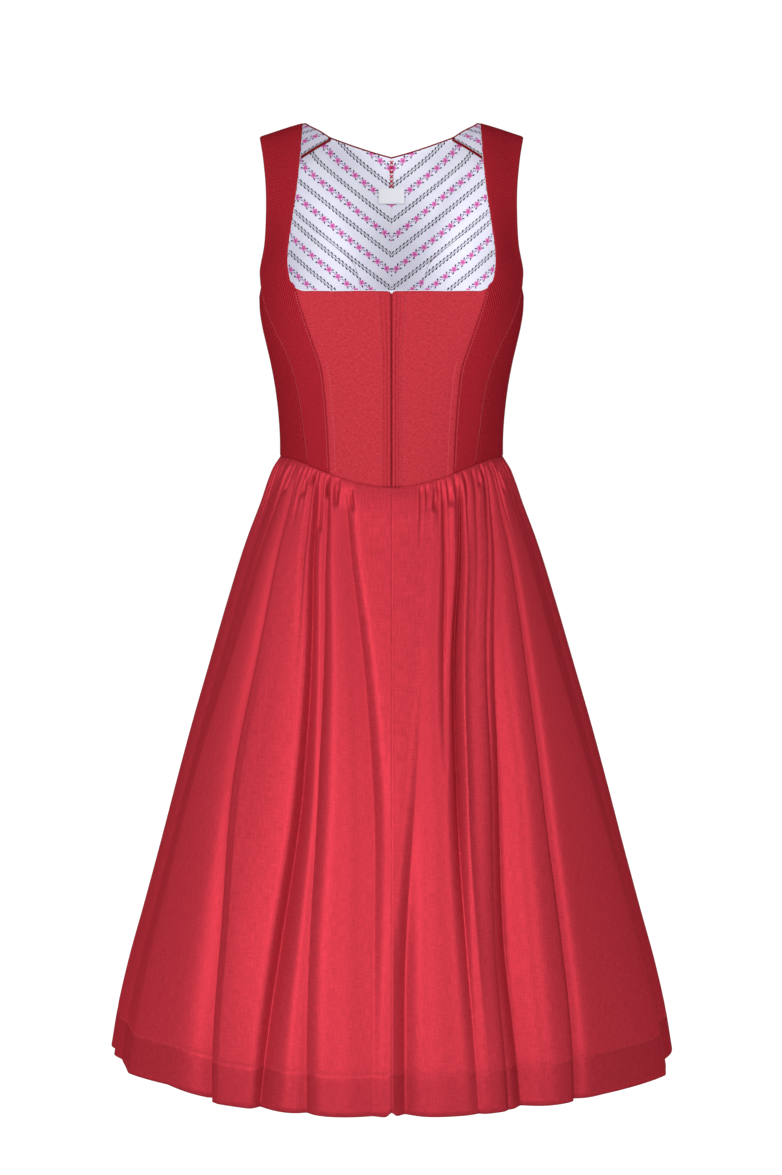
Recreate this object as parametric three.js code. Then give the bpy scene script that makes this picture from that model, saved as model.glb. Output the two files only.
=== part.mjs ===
// Dirndl: a sleeveless midi dress with a panelled, lined bodice and a gathered skirt,
// filled out as it is worn and hollow inside.
// Millimetres, +Z up. The wearer faces -Y, +X is the wearer's left. The origin lies
// midway between the shoulders, at the height of the straps' crest.

import * as THREE from "three";

// ---------------------------------------------------------------- cloth and seams
const BODICE_WALL = 1.2;
const LINING_WALL = 1.0;
const SKIRT_WALL = 1.6;
const HEM_ALLOWANCE = 45; // turned up inside, a second layer
const SEAM_GAP = 0.3; // between sewn pieces
const LINING_DEPTH = BODICE_WALL + SEAM_GAP;
const BODICE_DEPTH = LINING_DEPTH + LINING_WALL;

// ---------------------------------------------------------------- waist seam
const WAIST = { halfWidth: 129.5, front: 97, back: 92, sideZ: -382.5, backRise: 2.5 };
const WAIST_DIP = { depth: 29, halfSpan: 120, power: 1.5 }; // the seam dips at the front

// ---------------------------------------------------------------- bodice seams
// One row for each station from the waist up; turn is the direction of the cloth's
// cross line in plan, in degrees: 0 across the front, 90 front to back, 180 across the back.
// columns: x, y, z, turn
const CENTRE_FRONT = [
  [0, -97, -412, 0],
  [0, -103, -372, 0],
  [0, -110, -330, 0],
  [0, -115.5, -288, 0],
  [0, -119, -255, 0],
  [0, -120.5, -218, 0],
  [0, -119.5, -190.6, 0],
];
const PRINCESS_SEAM = [
  [70.9, -81.2, -398, 26],
  [72, -90, -359, 24],
  [74.5, -99, -317, 22],
  [79, -107, -277, 20],
  [89, -110, -247, 20],
  [101, -109, -211, 24],
  [108, -106.5, -187, 28],
];
const SIDE_FRONT_SEAM = [
  [97, -64.3, -387.4, 40],
  [100.5, -72, -354, 42],
  [106, -80, -310, 44],
  [114, -85, -276, 46],
  [125.5, -81, -248, 52],
  [140, -64, -220, 62],
  [149, -38, -190, 74],
];
const SIDE_SEAM = [
  [128.5, 11.2, -383, 96],
  [129.3, 12, -350, 94],
  [133, 13, -312, 93],
  [139, 13, -276, 92],
  [146, 12, -244, 92],
  [151.5, 11, -218, 92],
  [153.5, 10, -196, 92],
];
const SIDE_BACK_SEAM = [
  [40, 87.5, -380.3, 167],
  [37, 94, -325, 169],
  [34.5, 101, -262, 171],
  [36, 105.5, -205, 170],
  [43.5, 106.5, -165, 166],
  [62, 104, -145, 160],
  [86, 97, -126, 151],
  [118, 79, -102, 134],
  [144.5, 55, -88, 112],
];
const CENTRE_BACK = [
  [0, 92, -380, 180],
  [0, 95, -340, 180],
  [0, 100, -290, 180],
  [0, 105, -235, 180],
  [0, 107, -190, 180],
  [0, 105.5, -150, 180],
  [0, 101, -110, 180],
  [0, 92, -72, 180],
  [0, 79, -37, 180],
];
// The strap goes on from the princess seam (neck edge) and the side front seam
// (armhole edge), over the crest, to the shoulder seam on the back.
const STRAP_NECK_EDGE = [
  [114, -104, -178, 34],
  [117, -99, -160, 38],
  [116, -92, -138, 36],
  [112, -84, -110, 32],
  [107, -72, -74, 26],
  [103.5, -56, -39, 18],
  [102, -30, -11, 8],
  [101.4, 0, 0, 0],
  [95, 17, -2, 0],
  [84, 32, -7, 0],
  [71.4, 45, -15, 0],
];
const STRAP_ARMHOLE_EDGE = [
  [150.5, -39.5, -178, 72],
  [150.5, -42, -165, 68],
  [145.5, -47, -138, 58],
  [143.3, -50, -105, 48],
  [143.4, -46, -73, 36],
  [146.6, -28, -42, 22],
  [150.4, -8, -21, 8],
  [152, 10, -15, 0],
  [151, 28, -20, 0],
  [148.5, 46, -38, 0],
  [145.5, 62, -62, 0],
];
const BACK_SHOULDER_CORNER = [145.5, 62, -62, 178];

// Free edges and seams between two corners. columns: x, y, z
const NECKLINE_FRONT = [
  [0, -119.5, -190.6],
  [30, -119, -190.2],
  [62, -115.5, -190.6],
  [88, -111, -190.4],
  [100, -108.8, -190.3],
  [108, -106.5, -187],
];
const ARMHOLE_UNDER = [
  [149, -38, -190],
  [152, -14, -196.5],
  [153.5, 10, -196],
];
const ARMHOLE_BACK = [
  [153.5, 10, -196],
  [151.5, 30, -180],
  [148, 43, -152],
  [145, 51, -120],
  [144.5, 55, -88],
];
const SHOULDER_SEAM = [
  [145.5, 62, -62],
  [127, 61, -48],
  [104, 56.5, -33.5],
  [86, 51, -22.5],
  [71.4, 45, -15],
];
const NECKLINE_BACK = [
  [71.4, 45, -15],
  [58, 56.5, -19.5],
  [43, 66.5, -24.5],
  [20.5, 75.5, -31.5],
  [0, 79, -37],
];

// ---------------------------------------------------------------- placket, label, piping
const PLACKET = { width: 10, wall: 1.2, slitHalf: 0.6 };
const LABEL = { width: 32, height: 18, wall: 1.0, belowNeck: 37 };
const NECK_PIPING_RADIUS = 1.0;
const SHOULDER_PIPING_RADIUS = 0.9;
const SHOULDER_PIPING_SPAN = [0.04, 0.94]; // shares of the shoulder seam, from the armhole
const PIPING_CLEARANCE = 0.8; // from the shoulder seam to the piping, clear of the turned-in cloth
const PIPING_SIDES = 6;

// ---------------------------------------------------------------- skirt
// The skirt's plain form. columns: share of the way from waist to hem, half width, front, back
const HEM_Z = -1082;
// columns: angle from the centre front, how far the hem hangs higher there
const HEM_RISE = [
  [-180, 0],
  [-95, 1],
  [-70, 8],
  [-48, 10],
  [-39, 2],
  [0, 0],
  [45, 2],
  [72, -2],
  [95, 0],
  [180, 0],
];
const SKIRT_FORM = [
  [0, 129.5, 97, 92],
  [0.017, 137.6, 101.5, 98],
  [0.037, 143.6, 106, 103.5],
  [0.072, 151.8, 113, 113],
  [0.138, 169, 127, 130],
  [0.24, 191.6, 149, 154],
  [0.341, 212.5, 171, 177],
  [0.443, 233.5, 193, 199],
  [0.547, 253.5, 214, 220],
  [0.649, 272.4, 234, 240],
  [0.754, 292.5, 255, 260],
  [0.858, 312.8, 275, 280],
  [0.93, 324.5, 288, 292],
  [1, 333, 299, 302],
];
const SKIRT_ROWS = [0, 0.02, 0.055, 0.11, 0.2, 0.35, 0.53, 0.73, 0.931, 0.938, 1];

// Gathers: all round the waist but for a flat stretch at the centre front.
const FLAT_HALF_ANGLE = 20;
const FLAT_COLUMNS = 14;
const GATHER_COUNT = 104;
const SIDE_SEAM_GATHER = 23; // the skirt's side seams lie this many gathers from the flat
const GATHER_PITCH = (360 - 2 * FLAT_HALF_ANGLE) / GATHER_COUNT;
// columns: share of the way down, depth of a gather
const GATHER_DEPTH = [
  [0, 0.6],
  [0.02, 2.6],
  [0.055, 3.2],
  [0.11, 2.4],
  [0.2, 1.0],
  [0.35, 0],
  [1, 0],
];

// Large folds that run from the waist to the hem: hollows, and ridges where the depth is
// negative. Angles are from the centre front, positive to the wearer's left; depths are at
// a quarter, half, three quarters and the whole way down; a fold is steeper on its sharp
// side (-1, 0 or 1).
// columns: angle at waist, half way, hem, four depths, width in degrees, sharp side
const FOLDS = [
  [-86, -85, -82, 1, 3, 6, 9, 3, 1],
  [-70, -73, -72, 4, 5, 5, 5, 6, 0],
  [-55, -61, -60.2, -5, -9, -11, -11, 12, -1],
  [-52, -46.5, -37.5, 4, 5, 8, 13, 4, 1],
  [-48, -43, -34.5, 0, -2, -5, -4, 8, -1],
  [-37.5, -25.2, -26.5, 11, 18, 17, 12, 4.4, -1],
  [-32, -20.2, -16.5, 5, 4, 4, 7, 2.6, 0],
  [-22, -5, -3.6, 8, 11, 10, 8, 4.5, 1],
  [22.5, 6.4, 2.6, 1, 5, 14, 16, 3, -1],
  [26, 14, 12, 6, 0, 0, 0, 2.4, 0],
  [31, 18.2, 16, 14, 13, 7, 4, 2.4, 0],
  [50, 31, 26.4, 5, 15, 20, 16, 4, -1],
  [58, 44.1, 38.2, 5, 6, 7, 8, 3, 1],
  [66, 62.7, 65.8, -5, -9, -11, -11, 12, 1],
  [78, 76, 78, 4, 5, 6, 7, 5, 0],
  [96, 95, 94, 3, 5, 6, 8, 4.5, -1],
  [109, 113, 115, 5, 8, 8, 9, 3.6, 1],
  [121, 124, 126, 3, 3, 2, 3, 3, -1],
  [131, 139, 143, 6, 11, 9, 8, 3.8, 1],
  [151, 152, 158, 4, 4, 6, 8, 4.4, -1],
  [166, 169, 170, 6, 9, 8, 6, 3.4, 1],
  [-177, -176, -175, 3, 4, 6, 8, 3.4, 1],
  [-166, -158, -155, 6, 10, 9, 9, 4.2, -1],
  [-151, -146, -144, 3, 4, 3, 2, 3, 1],
  [-139, -133, -128, 6, 9, 10, 9, 4, -1],
  [-120, -117, -113, 4, 6, 6, 8, 4, 1],
  [-104, -101, -98, 5, 7, 7, 8, 4.4, -1],
];
const SHARPNESS = 2.2; // how much narrower the sharp side is

// ---------------------------------------------------------------- materials
function cloth(colour, roughness) {
  return new THREE.MeshStandardMaterial({ color: colour, roughness, metalness: 0 });
}
const BODICE_CLOTH = cloth(0xa92733, 0.85);
const SKIRT_CLOTH = cloth(0xcb3642, 0.6);
const LINING_PRINT = cloth(0xe2e0ee, 0.8);
const PIPING_CLOTH = cloth(0x8f1522, 0.7);
const LABEL_CLOTH = cloth(0xf1f0f4, 0.6);

const dirndl = new THREE.Group();

// ---------------------------------------------------------------- small tools
const radians = THREE.MathUtils.degToRad;
const lerp = THREE.MathUtils.lerp;
const clamp = THREE.MathUtils.clamp;

// A smooth line through a table's rows, every column alike; t runs from 0 to 1.
function smoothRow(table, t) {
  const place = clamp(t, 0, 1) * (table.length - 1);
  const i = Math.min(Math.floor(place), table.length - 2);
  const w = place - i;
  const b = table[i];
  const c = table[i + 1];
  const a = table[i - 1] ?? b.map((value, k) => 2 * value - c[k]);
  const d = table[i + 2] ?? c.map((value, k) => 2 * value - b[k]);
  return b.map((value, k) => {
    const slopeB = (c[k] - a[k]) / 2;
    const slopeC = (d[k] - value) / 2;
    const rise = c[k] - value;
    return value + w * (slopeB + w * (3 * rise - 2 * slopeB - slopeC + w * (slopeB + slopeC - 2 * rise)));
  });
}

// The straight-line value of a table at s, where the first column is s.
function tableAt(table, s, column) {
  let i = 0;
  while (i < table.length - 2 && table[i + 1][0] < s) i += 1;
  const [from, to] = [table[i], table[i + 1]];
  const w = clamp((s - from[0]) / (to[0] - from[0]), 0, 1);
  return lerp(from[column], to[column], w);
}

// The same line with another number of rows, evenly spread.
function resampled(table, spans) {
  return Array.from({ length: spans + 1 }, (_, i) => smoothRow(table, i / spans));
}

function vector(row) {
  return new THREE.Vector3(row[0], row[1], row[2]);
}

// A closed wall from two grids of points of the same size, joined round their edges.
function wall(outer, inner) {
  const rows = outer.length;
  const columns = outer[0].length;
  const count = rows * columns;
  const positions = [...outer.flat(), ...inner.flat()].flatMap((p) => [p.x, p.y, p.z]);
  const faces = [];
  const quad = (a, b, c, d) => faces.push(a, b, c, a, c, d);
  for (let r = 0; r < rows - 1; r += 1) {
    for (let c = 0; c < columns - 1; c += 1) {
      const a = r * columns + c;
      quad(a, a + 1, a + 1 + columns, a + columns);
      quad(count + a, count + a + columns, count + a + 1 + columns, count + a + 1);
    }
  }
  const edge = [];
  for (let c = 0; c < columns - 1; c += 1) edge.push(c);
  for (let r = 0; r < rows - 1; r += 1) edge.push(r * columns + columns - 1);
  for (let c = columns - 1; c > 0; c -= 1) edge.push((rows - 1) * columns + c);
  for (let r = rows - 1; r > 0; r -= 1) edge.push(r * columns);
  edge.forEach((a, i) => {
    const b = edge[(i + 1) % edge.length];
    quad(a, a + count, b + count, b);
  });
  return solid(positions, faces);
}

// A geometry with its faces turned out.
function solid(positions, faces) {
  let volume = 0;
  const corner = (i) => new THREE.Vector3().fromArray(positions, 3 * i);
  for (let i = 0; i < faces.length; i += 3) {
    const [a, b, c] = [corner(faces[i]), corner(faces[i + 1]), corner(faces[i + 2])];
    volume += a.dot(b.cross(c));
  }
  const turned = volume < 0 ? faces.toReversed() : faces;
  const geometry = new THREE.BufferGeometry();
  geometry.setAttribute("position", new THREE.Float32BufferAttribute(positions, 3));
  geometry.setIndex(turned);
  return geometry;
}

function add(name, geometry, material) {
  const mesh = new THREE.Mesh(geometry, material);
  mesh.name = name;
  dirndl.add(mesh);
}

// Each bodice piece is made once for the wearer's left and mirrored for the right.
const SIDES = [
  { suffix: "_l", sign: 1 },
  { suffix: "_r", sign: -1 },
];

function mirrored(grid, sign) {
  return grid.map((row) => row.map((p) => new THREE.Vector3(sign * p.x, p.y, p.z)));
}

// ---------------------------------------------------------------- waist seam
// angle in degrees from the centre front
function waistPoint(angle) {
  const x = WAIST.halfWidth * Math.sin(radians(angle));
  const cosine = Math.cos(radians(angle));
  const y = -(cosine > 0 ? WAIST.front : WAIST.back) * cosine;
  if (cosine < 0) return new THREE.Vector3(x, y, WAIST.sideZ + WAIST.backRise * cosine ** 2);
  const reach = Math.max(0, 1 - (x / WAIST_DIP.halfSpan) ** 2);
  return new THREE.Vector3(x, y, WAIST.sideZ - WAIST_DIP.depth * reach ** WAIST_DIP.power);
}

// ---------------------------------------------------------------- bodice panels
// A panel spans two seams, each row a curve that leaves both seams along their turn.
// It uses the first spans of both lines, one row of the wall for each. waist gives the
// panel's two angles on the waist seam, top the lines of its upper edge, topFrom how far
// up the panel that edge starts to shape it, and shoulderShare how much of that edge is
// sewn into the shoulder seam.
// The rows of two neighbours meet at the same stations of the seam between them.
const SEAM_SPANS = 8;
const centreFrontLine = resampled(CENTRE_FRONT, SEAM_SPANS);
const neckLine = [...resampled(PRINCESS_SEAM, SEAM_SPANS), ...STRAP_NECK_EDGE];
const armholeLine = [...resampled(SIDE_FRONT_SEAM, SEAM_SPANS), ...STRAP_ARMHOLE_EDGE];
const sideLine = resampled(SIDE_SEAM, SEAM_SPANS);
const shoulderLine = [...resampled(SIDE_BACK_SEAM, SEAM_SPANS), BACK_SHOULDER_CORNER];
const centreBackLine = resampled(CENTRE_BACK, SEAM_SPANS + 1);
const PANELS = {
  centre_front: {
    left: centreFrontLine,
    right: neckLine,
    spans: SEAM_SPANS,
    waist: [0, 33.2],
    top: [NECKLINE_FRONT],
    topFrom: 0.6,
    shoulderShare: 0,
    columns: 4,
  },
  side_front: {
    left: neckLine,
    right: armholeLine,
    spans: neckLine.length - 1,
    waist: [33.2, 48.5],
    top: [SHOULDER_SEAM.toReversed()],
    topFrom: 0.8,
    shoulderShare: 1,
    columns: 3,
  },
  side: {
    left: armholeLine,
    right: sideLine,
    spans: SEAM_SPANS,
    waist: [48.5, 97],
    top: [ARMHOLE_UNDER],
    topFrom: 0.6,
    shoulderShare: 0,
    columns: 7,
  },
  side_back: {
    left: sideLine,
    right: shoulderLine,
    spans: SEAM_SPANS,
    waist: [97, 162],
    top: [ARMHOLE_BACK],
    topFrom: 0.4,
    shoulderShare: 0,
    columns: 6,
  },
  centre_back: {
    left: shoulderLine,
    right: centreBackLine,
    spans: SEAM_SPANS + 1,
    waist: [162, 180],
    top: [SHOULDER_SEAM, NECKLINE_BACK],
    topFrom: 0.45,
    shoulderShare: 0.5,
    columns: 8,
  },
};

// The plain surface between the two seams.
function spanPoint(panel, u, v) {
  const left = smoothRow(panel.left, (v * panel.spans) / (panel.left.length - 1));
  const right = smoothRow(panel.right, (v * panel.spans) / (panel.right.length - 1));
  const from = vector(left);
  const to = vector(right);
  const plan = Math.hypot(to.x - from.x, to.y - from.y);
  const rise = to.z - from.z;
  const slope = (turn) => {
    const heading = radians(turn);
    return new THREE.Vector3(Math.cos(heading) * plan, Math.sin(heading) * plan, rise);
  };
  const [startSlope, endSlope] = [slope(left[3]), slope(right[3])];
  const [u2, u3] = [u * u, u * u * u];
  return from
    .multiplyScalar(2 * u3 - 3 * u2 + 1)
    .addScaledVector(startSlope, u3 - 2 * u2 + u)
    .addScaledVector(to, 3 * u2 - 2 * u3)
    .addScaledVector(endSlope, u3 - u2);
}

function topPoint(panel, u) {
  const place = clamp(u, 0, 1) * panel.top.length;
  const i = Math.min(Math.floor(place), panel.top.length - 1);
  return vector(smoothRow(panel.top[i], place - i));
}

// The panel's outer face, with its lower edge on the waist seam and its upper edge in line.
function panelPoint(panel, u, v) {
  const point = spanPoint(panel, u, v);
  const low = waistPoint(lerp(panel.waist[0], panel.waist[1], u)).sub(spanPoint(panel, u, 0));
  const high = topPoint(panel, u).sub(spanPoint(panel, u, 1));
  const lowShare = (1 - v) ** 3;
  const highShare = THREE.MathUtils.smoothstep(v, panel.topFrom, 1);
  return point.addScaledVector(low, lowShare).addScaledVector(high, highShare);
}

const STEP = 1e-3;

function panelNormal(panel, u, v) {
  const [u0, u1] = [Math.max(u - STEP, 0), Math.min(u + STEP, 1)];
  const [v0, v1] = [Math.max(v - STEP, 0), Math.min(v + STEP, 1)];
  const across = panelPoint(panel, u1, v).sub(panelPoint(panel, u0, v));
  const up = panelPoint(panel, u, v1).sub(panelPoint(panel, u, v0));
  return across.cross(up).normalize();
}

// Both panels at a seam lean their walls the same way there: square to the seam's line
// and to its turn. Along the shoulder seam the walls lean back and up.
const SHOULDER_LEAN = new THREE.Vector3(0.24, 0.75, 0.62).normalize();

function lineLean(line, station) {
  const span = line.length - 1;
  const row = smoothRow(line, station / span);
  const along = vector(smoothRow(line, (station + STEP) / span));
  along.sub(vector(smoothRow(line, (station - STEP) / span)));
  const across = new THREE.Vector3(Math.cos(radians(row[3])), Math.sin(radians(row[3])), 0);
  return across.cross(along).normalize();
}

function lean(panel, u, v) {
  const onShoulder = v === 1 && panel.shoulderShare > 0 && u <= panel.shoulderShare;
  if (onShoulder) return SHOULDER_LEAN.clone();
  if (u === 0) return lineLean(panel.left, v * panel.spans);
  if (u === 1) return lineLean(panel.right, v * panel.spans);
  return panelNormal(panel, u, v);
}

function rowLength(panel, v) {
  return panelPoint(panel, 0, v).distanceTo(panelPoint(panel, 1, v));
}

const LENGTH_STEPS = 20;

function columnLength(panel, u) {
  let length = 0;
  for (let i = 0; i < LENGTH_STEPS; i += 1) {
    const from = panelPoint(panel, u, i / LENGTH_STEPS);
    length += from.distanceTo(panelPoint(panel, u, (i + 1) / LENGTH_STEPS));
  }
  return length;
}

// The panel's points at a depth below its outer face, kept clear of the neighbours' seams.
// margins are the clearances at the left and right seam.
function panelGrid(panel, depth, margins) {
  const grid = [];
  for (let r = 0; r <= panel.spans; r += 1) {
    const row = [];
    for (let c = 0; c <= panel.columns; c += 1) {
      const [evenU, evenV] = [c / panel.columns, r / panel.spans];
      const length = rowLength(panel, evenV);
      const u = clamp(evenU, margins[0] / length, 1 - margins[1] / length);
      const edge = SEAM_GAP / 2 / columnLength(panel, u);
      const v = clamp(evenV, edge, 1 - edge);
      row.push(panelPoint(panel, u, v).addScaledVector(lean(panel, evenU, evenV), -depth));
    }
    grid.push(row);
  }
  return grid;
}

const sheets = {};
for (const [name, panel] of Object.entries(PANELS)) {
  const half = SEAM_GAP / 2;
  const atClosure = name === "centre_front" ? PLACKET.slitHalf : half;
  const layers = [
    { prefix: "", depths: [0, BODICE_WALL], margins: [atClosure, half], material: BODICE_CLOTH },
    {
      prefix: "lining_", depths: [LINING_DEPTH, BODICE_DEPTH], margins: [half, half],
      material: LINING_PRINT,
    },
  ];
  for (const layer of layers) {
    const [outer, inner] = layer.depths.map((depth) => panelGrid(panel, depth, layer.margins));
    sheets[layer.prefix + name] = { outer, inner };
    for (const { suffix, sign } of SIDES) {
      const geometry = wall(mirrored(outer, sign), mirrored(inner, sign));
      add(`${layer.prefix}${name}${suffix}`, geometry, layer.material);
    }
  }
}

// ---------------------------------------------------------------- plackets
const { centre_front: centreFront, side_front: sideFront, centre_back: centreBack } = PANELS;

// A point on the flat facets of a grid, c columns and r rows in.
function onGrid(grid, c, r) {
  const i = clamp(Math.floor(c), 0, grid[0].length - 2);
  const j = clamp(Math.floor(r), 0, grid.length - 2);
  const low = grid[j][i].clone().lerp(grid[j][i + 1], c - i);
  const high = grid[j + 1][i].clone().lerp(grid[j + 1][i + 1], c - i);
  return low.lerp(high, r - j);
}

function placketGrid(height) {
  const grid = sheets.centre_front.outer;
  return grid.map((row, r) => {
    const facet = row[0].distanceTo(row[1]);
    const face = lineLean(centreFront.left, r);
    return [0, PLACKET.width / facet].map((c) => onGrid(grid, c, r).addScaledVector(face, height));
  });
}

for (const { suffix, sign } of SIDES) {
  const outer = mirrored(placketGrid(SEAM_GAP + PLACKET.wall), sign);
  const inner = mirrored(placketGrid(SEAM_GAP), sign);
  add(`placket${suffix}`, wall(outer, inner), BODICE_CLOTH);
}

// ---------------------------------------------------------------- label
// Lies on the lining below the back neckline, across the centre back seam.
function labelGrid(depth) {
  const grid = sheets.lining_centre_back.inner;
  const length = columnLength(centreBack, 1);
  return [LABEL.belowNeck + LABEL.height, LABEL.belowNeck].map((drop) => {
    const r = centreBack.spans * (1 - drop / length);
    const face = lineLean(centreBack.right, r);
    return [-1, 0, 1].map((side) => {
      const middle = onGrid(grid, centreBack.columns, r);
      const facet = middle.distanceTo(onGrid(grid, centreBack.columns - 1, r));
      const half = Math.abs(side) * (LABEL.width / 2 / facet);
      const point = onGrid(grid, centreBack.columns - half, r).addScaledVector(face, -depth);
      return new THREE.Vector3(side === 0 ? 0 : side * point.x, point.y, point.z);
    });
  });
}
add("neck_label", wall(labelGrid(SEAM_GAP), labelGrid(SEAM_GAP + LABEL.wall)), LABEL_CLOTH);

// ---------------------------------------------------------------- piping
// A round cord along a line of points; sides gives the outward direction at each.
function cord(points, sides, radius) {
  const positions = [];
  const faces = [];
  points.forEach((point, i) => {
    const along = (points[i + 1] ?? point).clone().sub(points[i - 1] ?? point).normalize();
    const up = sides[i].clone().addScaledVector(along, -sides[i].dot(along)).normalize();
    const across = along.clone().cross(up);
    for (let k = 0; k < PIPING_SIDES; k += 1) {
      const angle = (2 * Math.PI * k) / PIPING_SIDES;
      const rim = point.clone().addScaledVector(up, radius * Math.cos(angle));
      positions.push(...rim.addScaledVector(across, radius * Math.sin(angle)).toArray());
      const a = i * PIPING_SIDES + k;
      const b = i * PIPING_SIDES + ((k + 1) % PIPING_SIDES);
      if (i < points.length - 1) faces.push(a, b, b + PIPING_SIDES, a, b + PIPING_SIDES, a + PIPING_SIDES);
    }
  });
  const last = (points.length - 1) * PIPING_SIDES;
  for (let k = 1; k < PIPING_SIDES - 1; k += 1) {
    faces.push(0, k + 1, k, last, last + k, last + k + 1);
  }
  return solid(positions, faces);
}

// The neck piping caps the edge of the strap behind its crest and of the back neckline.
const crestStation = sideFront.spans - 3;
const cornerColumn = centreBack.columns / 2;
const capped = { points: [], sides: [] };

function capEdge(outer, inner, inside, before, after) {
  const middle = outer.clone().lerp(inner, 0.5);
  const along = after.clone().sub(before).normalize();
  const outward = outer.clone().sub(inside);
  outward.addScaledVector(along, -outward.dot(along)).normalize();
  capped.points.push(middle.addScaledVector(outward, SEAM_GAP + NECK_PIPING_RADIUS));
  capped.sides.push(outward);
}

const strapOuter = sheets.side_front.outer;
const strapInner = sheets.lining_side_front.inner;
for (let r = crestStation; r <= sideFront.spans; r += 1) {
  const before = strapOuter[r - 1][0];
  const after = strapOuter[Math.min(r + 1, sideFront.spans)][0];
  capEdge(strapOuter[r][0], strapInner[r][0], strapOuter[r][1], before, after);
}
const backOuter = sheets.centre_back.outer;
const backInner = sheets.lining_centre_back.inner;
const topRow = centreBack.spans;
for (let c = cornerColumn + 1; c <= centreBack.columns; c += 1) {
  const before = backOuter[topRow][c - 1];
  const mirroredNext = backOuter[topRow][c - 1].clone().setX(-backOuter[topRow][c - 1].x);
  const after = backOuter[topRow][c + 1] ?? mirroredNext;
  capEdge(backOuter[topRow][c], backInner[topRow][c], backOuter[topRow - 1][c], before, after);
}
const mirror = (p) => new THREE.Vector3(-p.x, p.y, p.z);
const neckPoints = [...capped.points, ...capped.points.slice(0, -1).toReversed().map(mirror)];
const neckSides = [...capped.sides, ...capped.sides.slice(0, -1).toReversed().map(mirror)];
add("neck_piping", cord(neckPoints, neckSides, NECK_PIPING_RADIUS), PIPING_CLOTH);

// The shoulder piping lies in the shoulder seam, on the lining side.
const seamInner = backInner[topRow].slice(0, cornerColumn + 1);
const [pipingStart, pipingEnd] = SHOULDER_PIPING_SPAN;
const shoulderPoints = Array.from({ length: cornerColumn * 2 + 1 }, (_, i) => {
  const c = lerp(pipingStart, pipingEnd, i / (cornerColumn * 2)) * cornerColumn;
  const j = Math.min(Math.floor(c), cornerColumn - 1);
  const point = seamInner[j].clone().lerp(seamInner[j + 1], c - j);
  return point.addScaledVector(SHOULDER_LEAN, -PIPING_CLEARANCE - SHOULDER_PIPING_RADIUS);
});
for (const { suffix, sign } of SIDES) {
  const turned = (p) => new THREE.Vector3(sign * p.x, p.y, p.z);
  const sides = shoulderPoints.map(() => turned(SHOULDER_LEAN));
  const geometry = cord(shoulderPoints.map(turned), sides, SHOULDER_PIPING_RADIUS);
  add(`shoulder_piping${suffix}`, geometry, PIPING_CLOTH);
}

// ---------------------------------------------------------------- skirt
// The hollow of one fold at an angle and a share of the way down.
function foldHollow(fold, angle, s) {
  const [waist, middle, hem, quarter, half, threeQuarters, full, width, sharp] = fold;
  const centre = waist * (1 - s) * (1 - 2 * s) + middle * 4 * s * (1 - s) + hem * s * (2 * s - 1);
  const depths = [[0, 0], [0.25, quarter], [0.5, half], [0.75, threeQuarters], [1, full]];
  const away = THREE.MathUtils.euclideanModulo(angle - centre + 180, 360) - 180;
  const steep = away * sharp > 0 ? SHARPNESS : 1;
  return tableAt(depths, s, 1) * Math.exp(-(((away * steep) / width) ** 2));
}

function gatherHollow(angle, s) {
  const inFlat = Math.abs(angle) < FLAT_HALF_ANGLE;
  if (inFlat) return 0;
  const count = (Math.abs(angle) - FLAT_HALF_ANGLE) / GATHER_PITCH;
  const uneven = 0.75 + 0.25 * Math.sin(2.4 * Math.floor(count) * Math.sign(angle));
  return tableAt(GATHER_DEPTH, s, 1) * uneven * (0.5 - 0.5 * Math.cos(2 * Math.PI * count));
}

// depth is measured straight in towards the skirt's axis line, so the wall keeps its form.
function skirtPoint(angle, s, depth) {
  const seam = waistPoint(angle);
  const sine = Math.sin(radians(angle));
  const cosine = Math.cos(radians(angle));
  const halfWidth = tableAt(SKIRT_FORM, s, 1);
  const halfDepth = tableAt(SKIRT_FORM, s, cosine > 0 ? 2 : 3);
  const out = new THREE.Vector3(sine / halfWidth, -cosine / halfDepth, 0).normalize();
  const folds = FOLDS.reduce((sum, fold) => sum + foldHollow(fold, angle, s), 0);
  const inset = depth + folds + gatherHollow(angle, s);
  const z = lerp(seam.z - SEAM_GAP / 2, HEM_Z + tableAt(HEM_RISE, angle, 1), s);
  return new THREE.Vector3(halfWidth * sine, -halfDepth * cosine, z).addScaledVector(out, -inset);
}

const hemStart = 1 - HEM_ALLOWANCE / (WAIST.sideZ - HEM_Z);
function skirtWall(s) {
  return s > hemStart ? SKIRT_WALL * 2 : SKIRT_WALL;
}

// The angles of the skirt's columns: the flat, then a ridge and a hollow for each gather.
function skirtAngles() {
  const angles = [];
  for (let c = 0; c < FLAT_COLUMNS; c += 1) {
    angles.push(-FLAT_HALF_ANGLE + (2 * FLAT_HALF_ANGLE * c) / FLAT_COLUMNS);
  }
  for (let c = 0; c <= 2 * GATHER_COUNT; c += 1) {
    angles.push(FLAT_HALF_ANGLE + (GATHER_PITCH * c) / 2);
  }
  return angles;
}

const sideSeamAngle = FLAT_HALF_ANGLE + SIDE_SEAM_GATHER * GATHER_PITCH;
const allAngles = skirtAngles();
const WIDTHS = [
  { name: "skirt_front_l", from: 0, to: sideSeamAngle },
  { name: "skirt_back", from: sideSeamAngle, to: 360 - sideSeamAngle },
  { name: "skirt_front_r", from: -sideSeamAngle, to: 0 },
];

const TINY = 1e-6;
const LEAST_TRAVEL = 0.7; // least way along the plan form for a turn of one radian, in half widths

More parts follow.
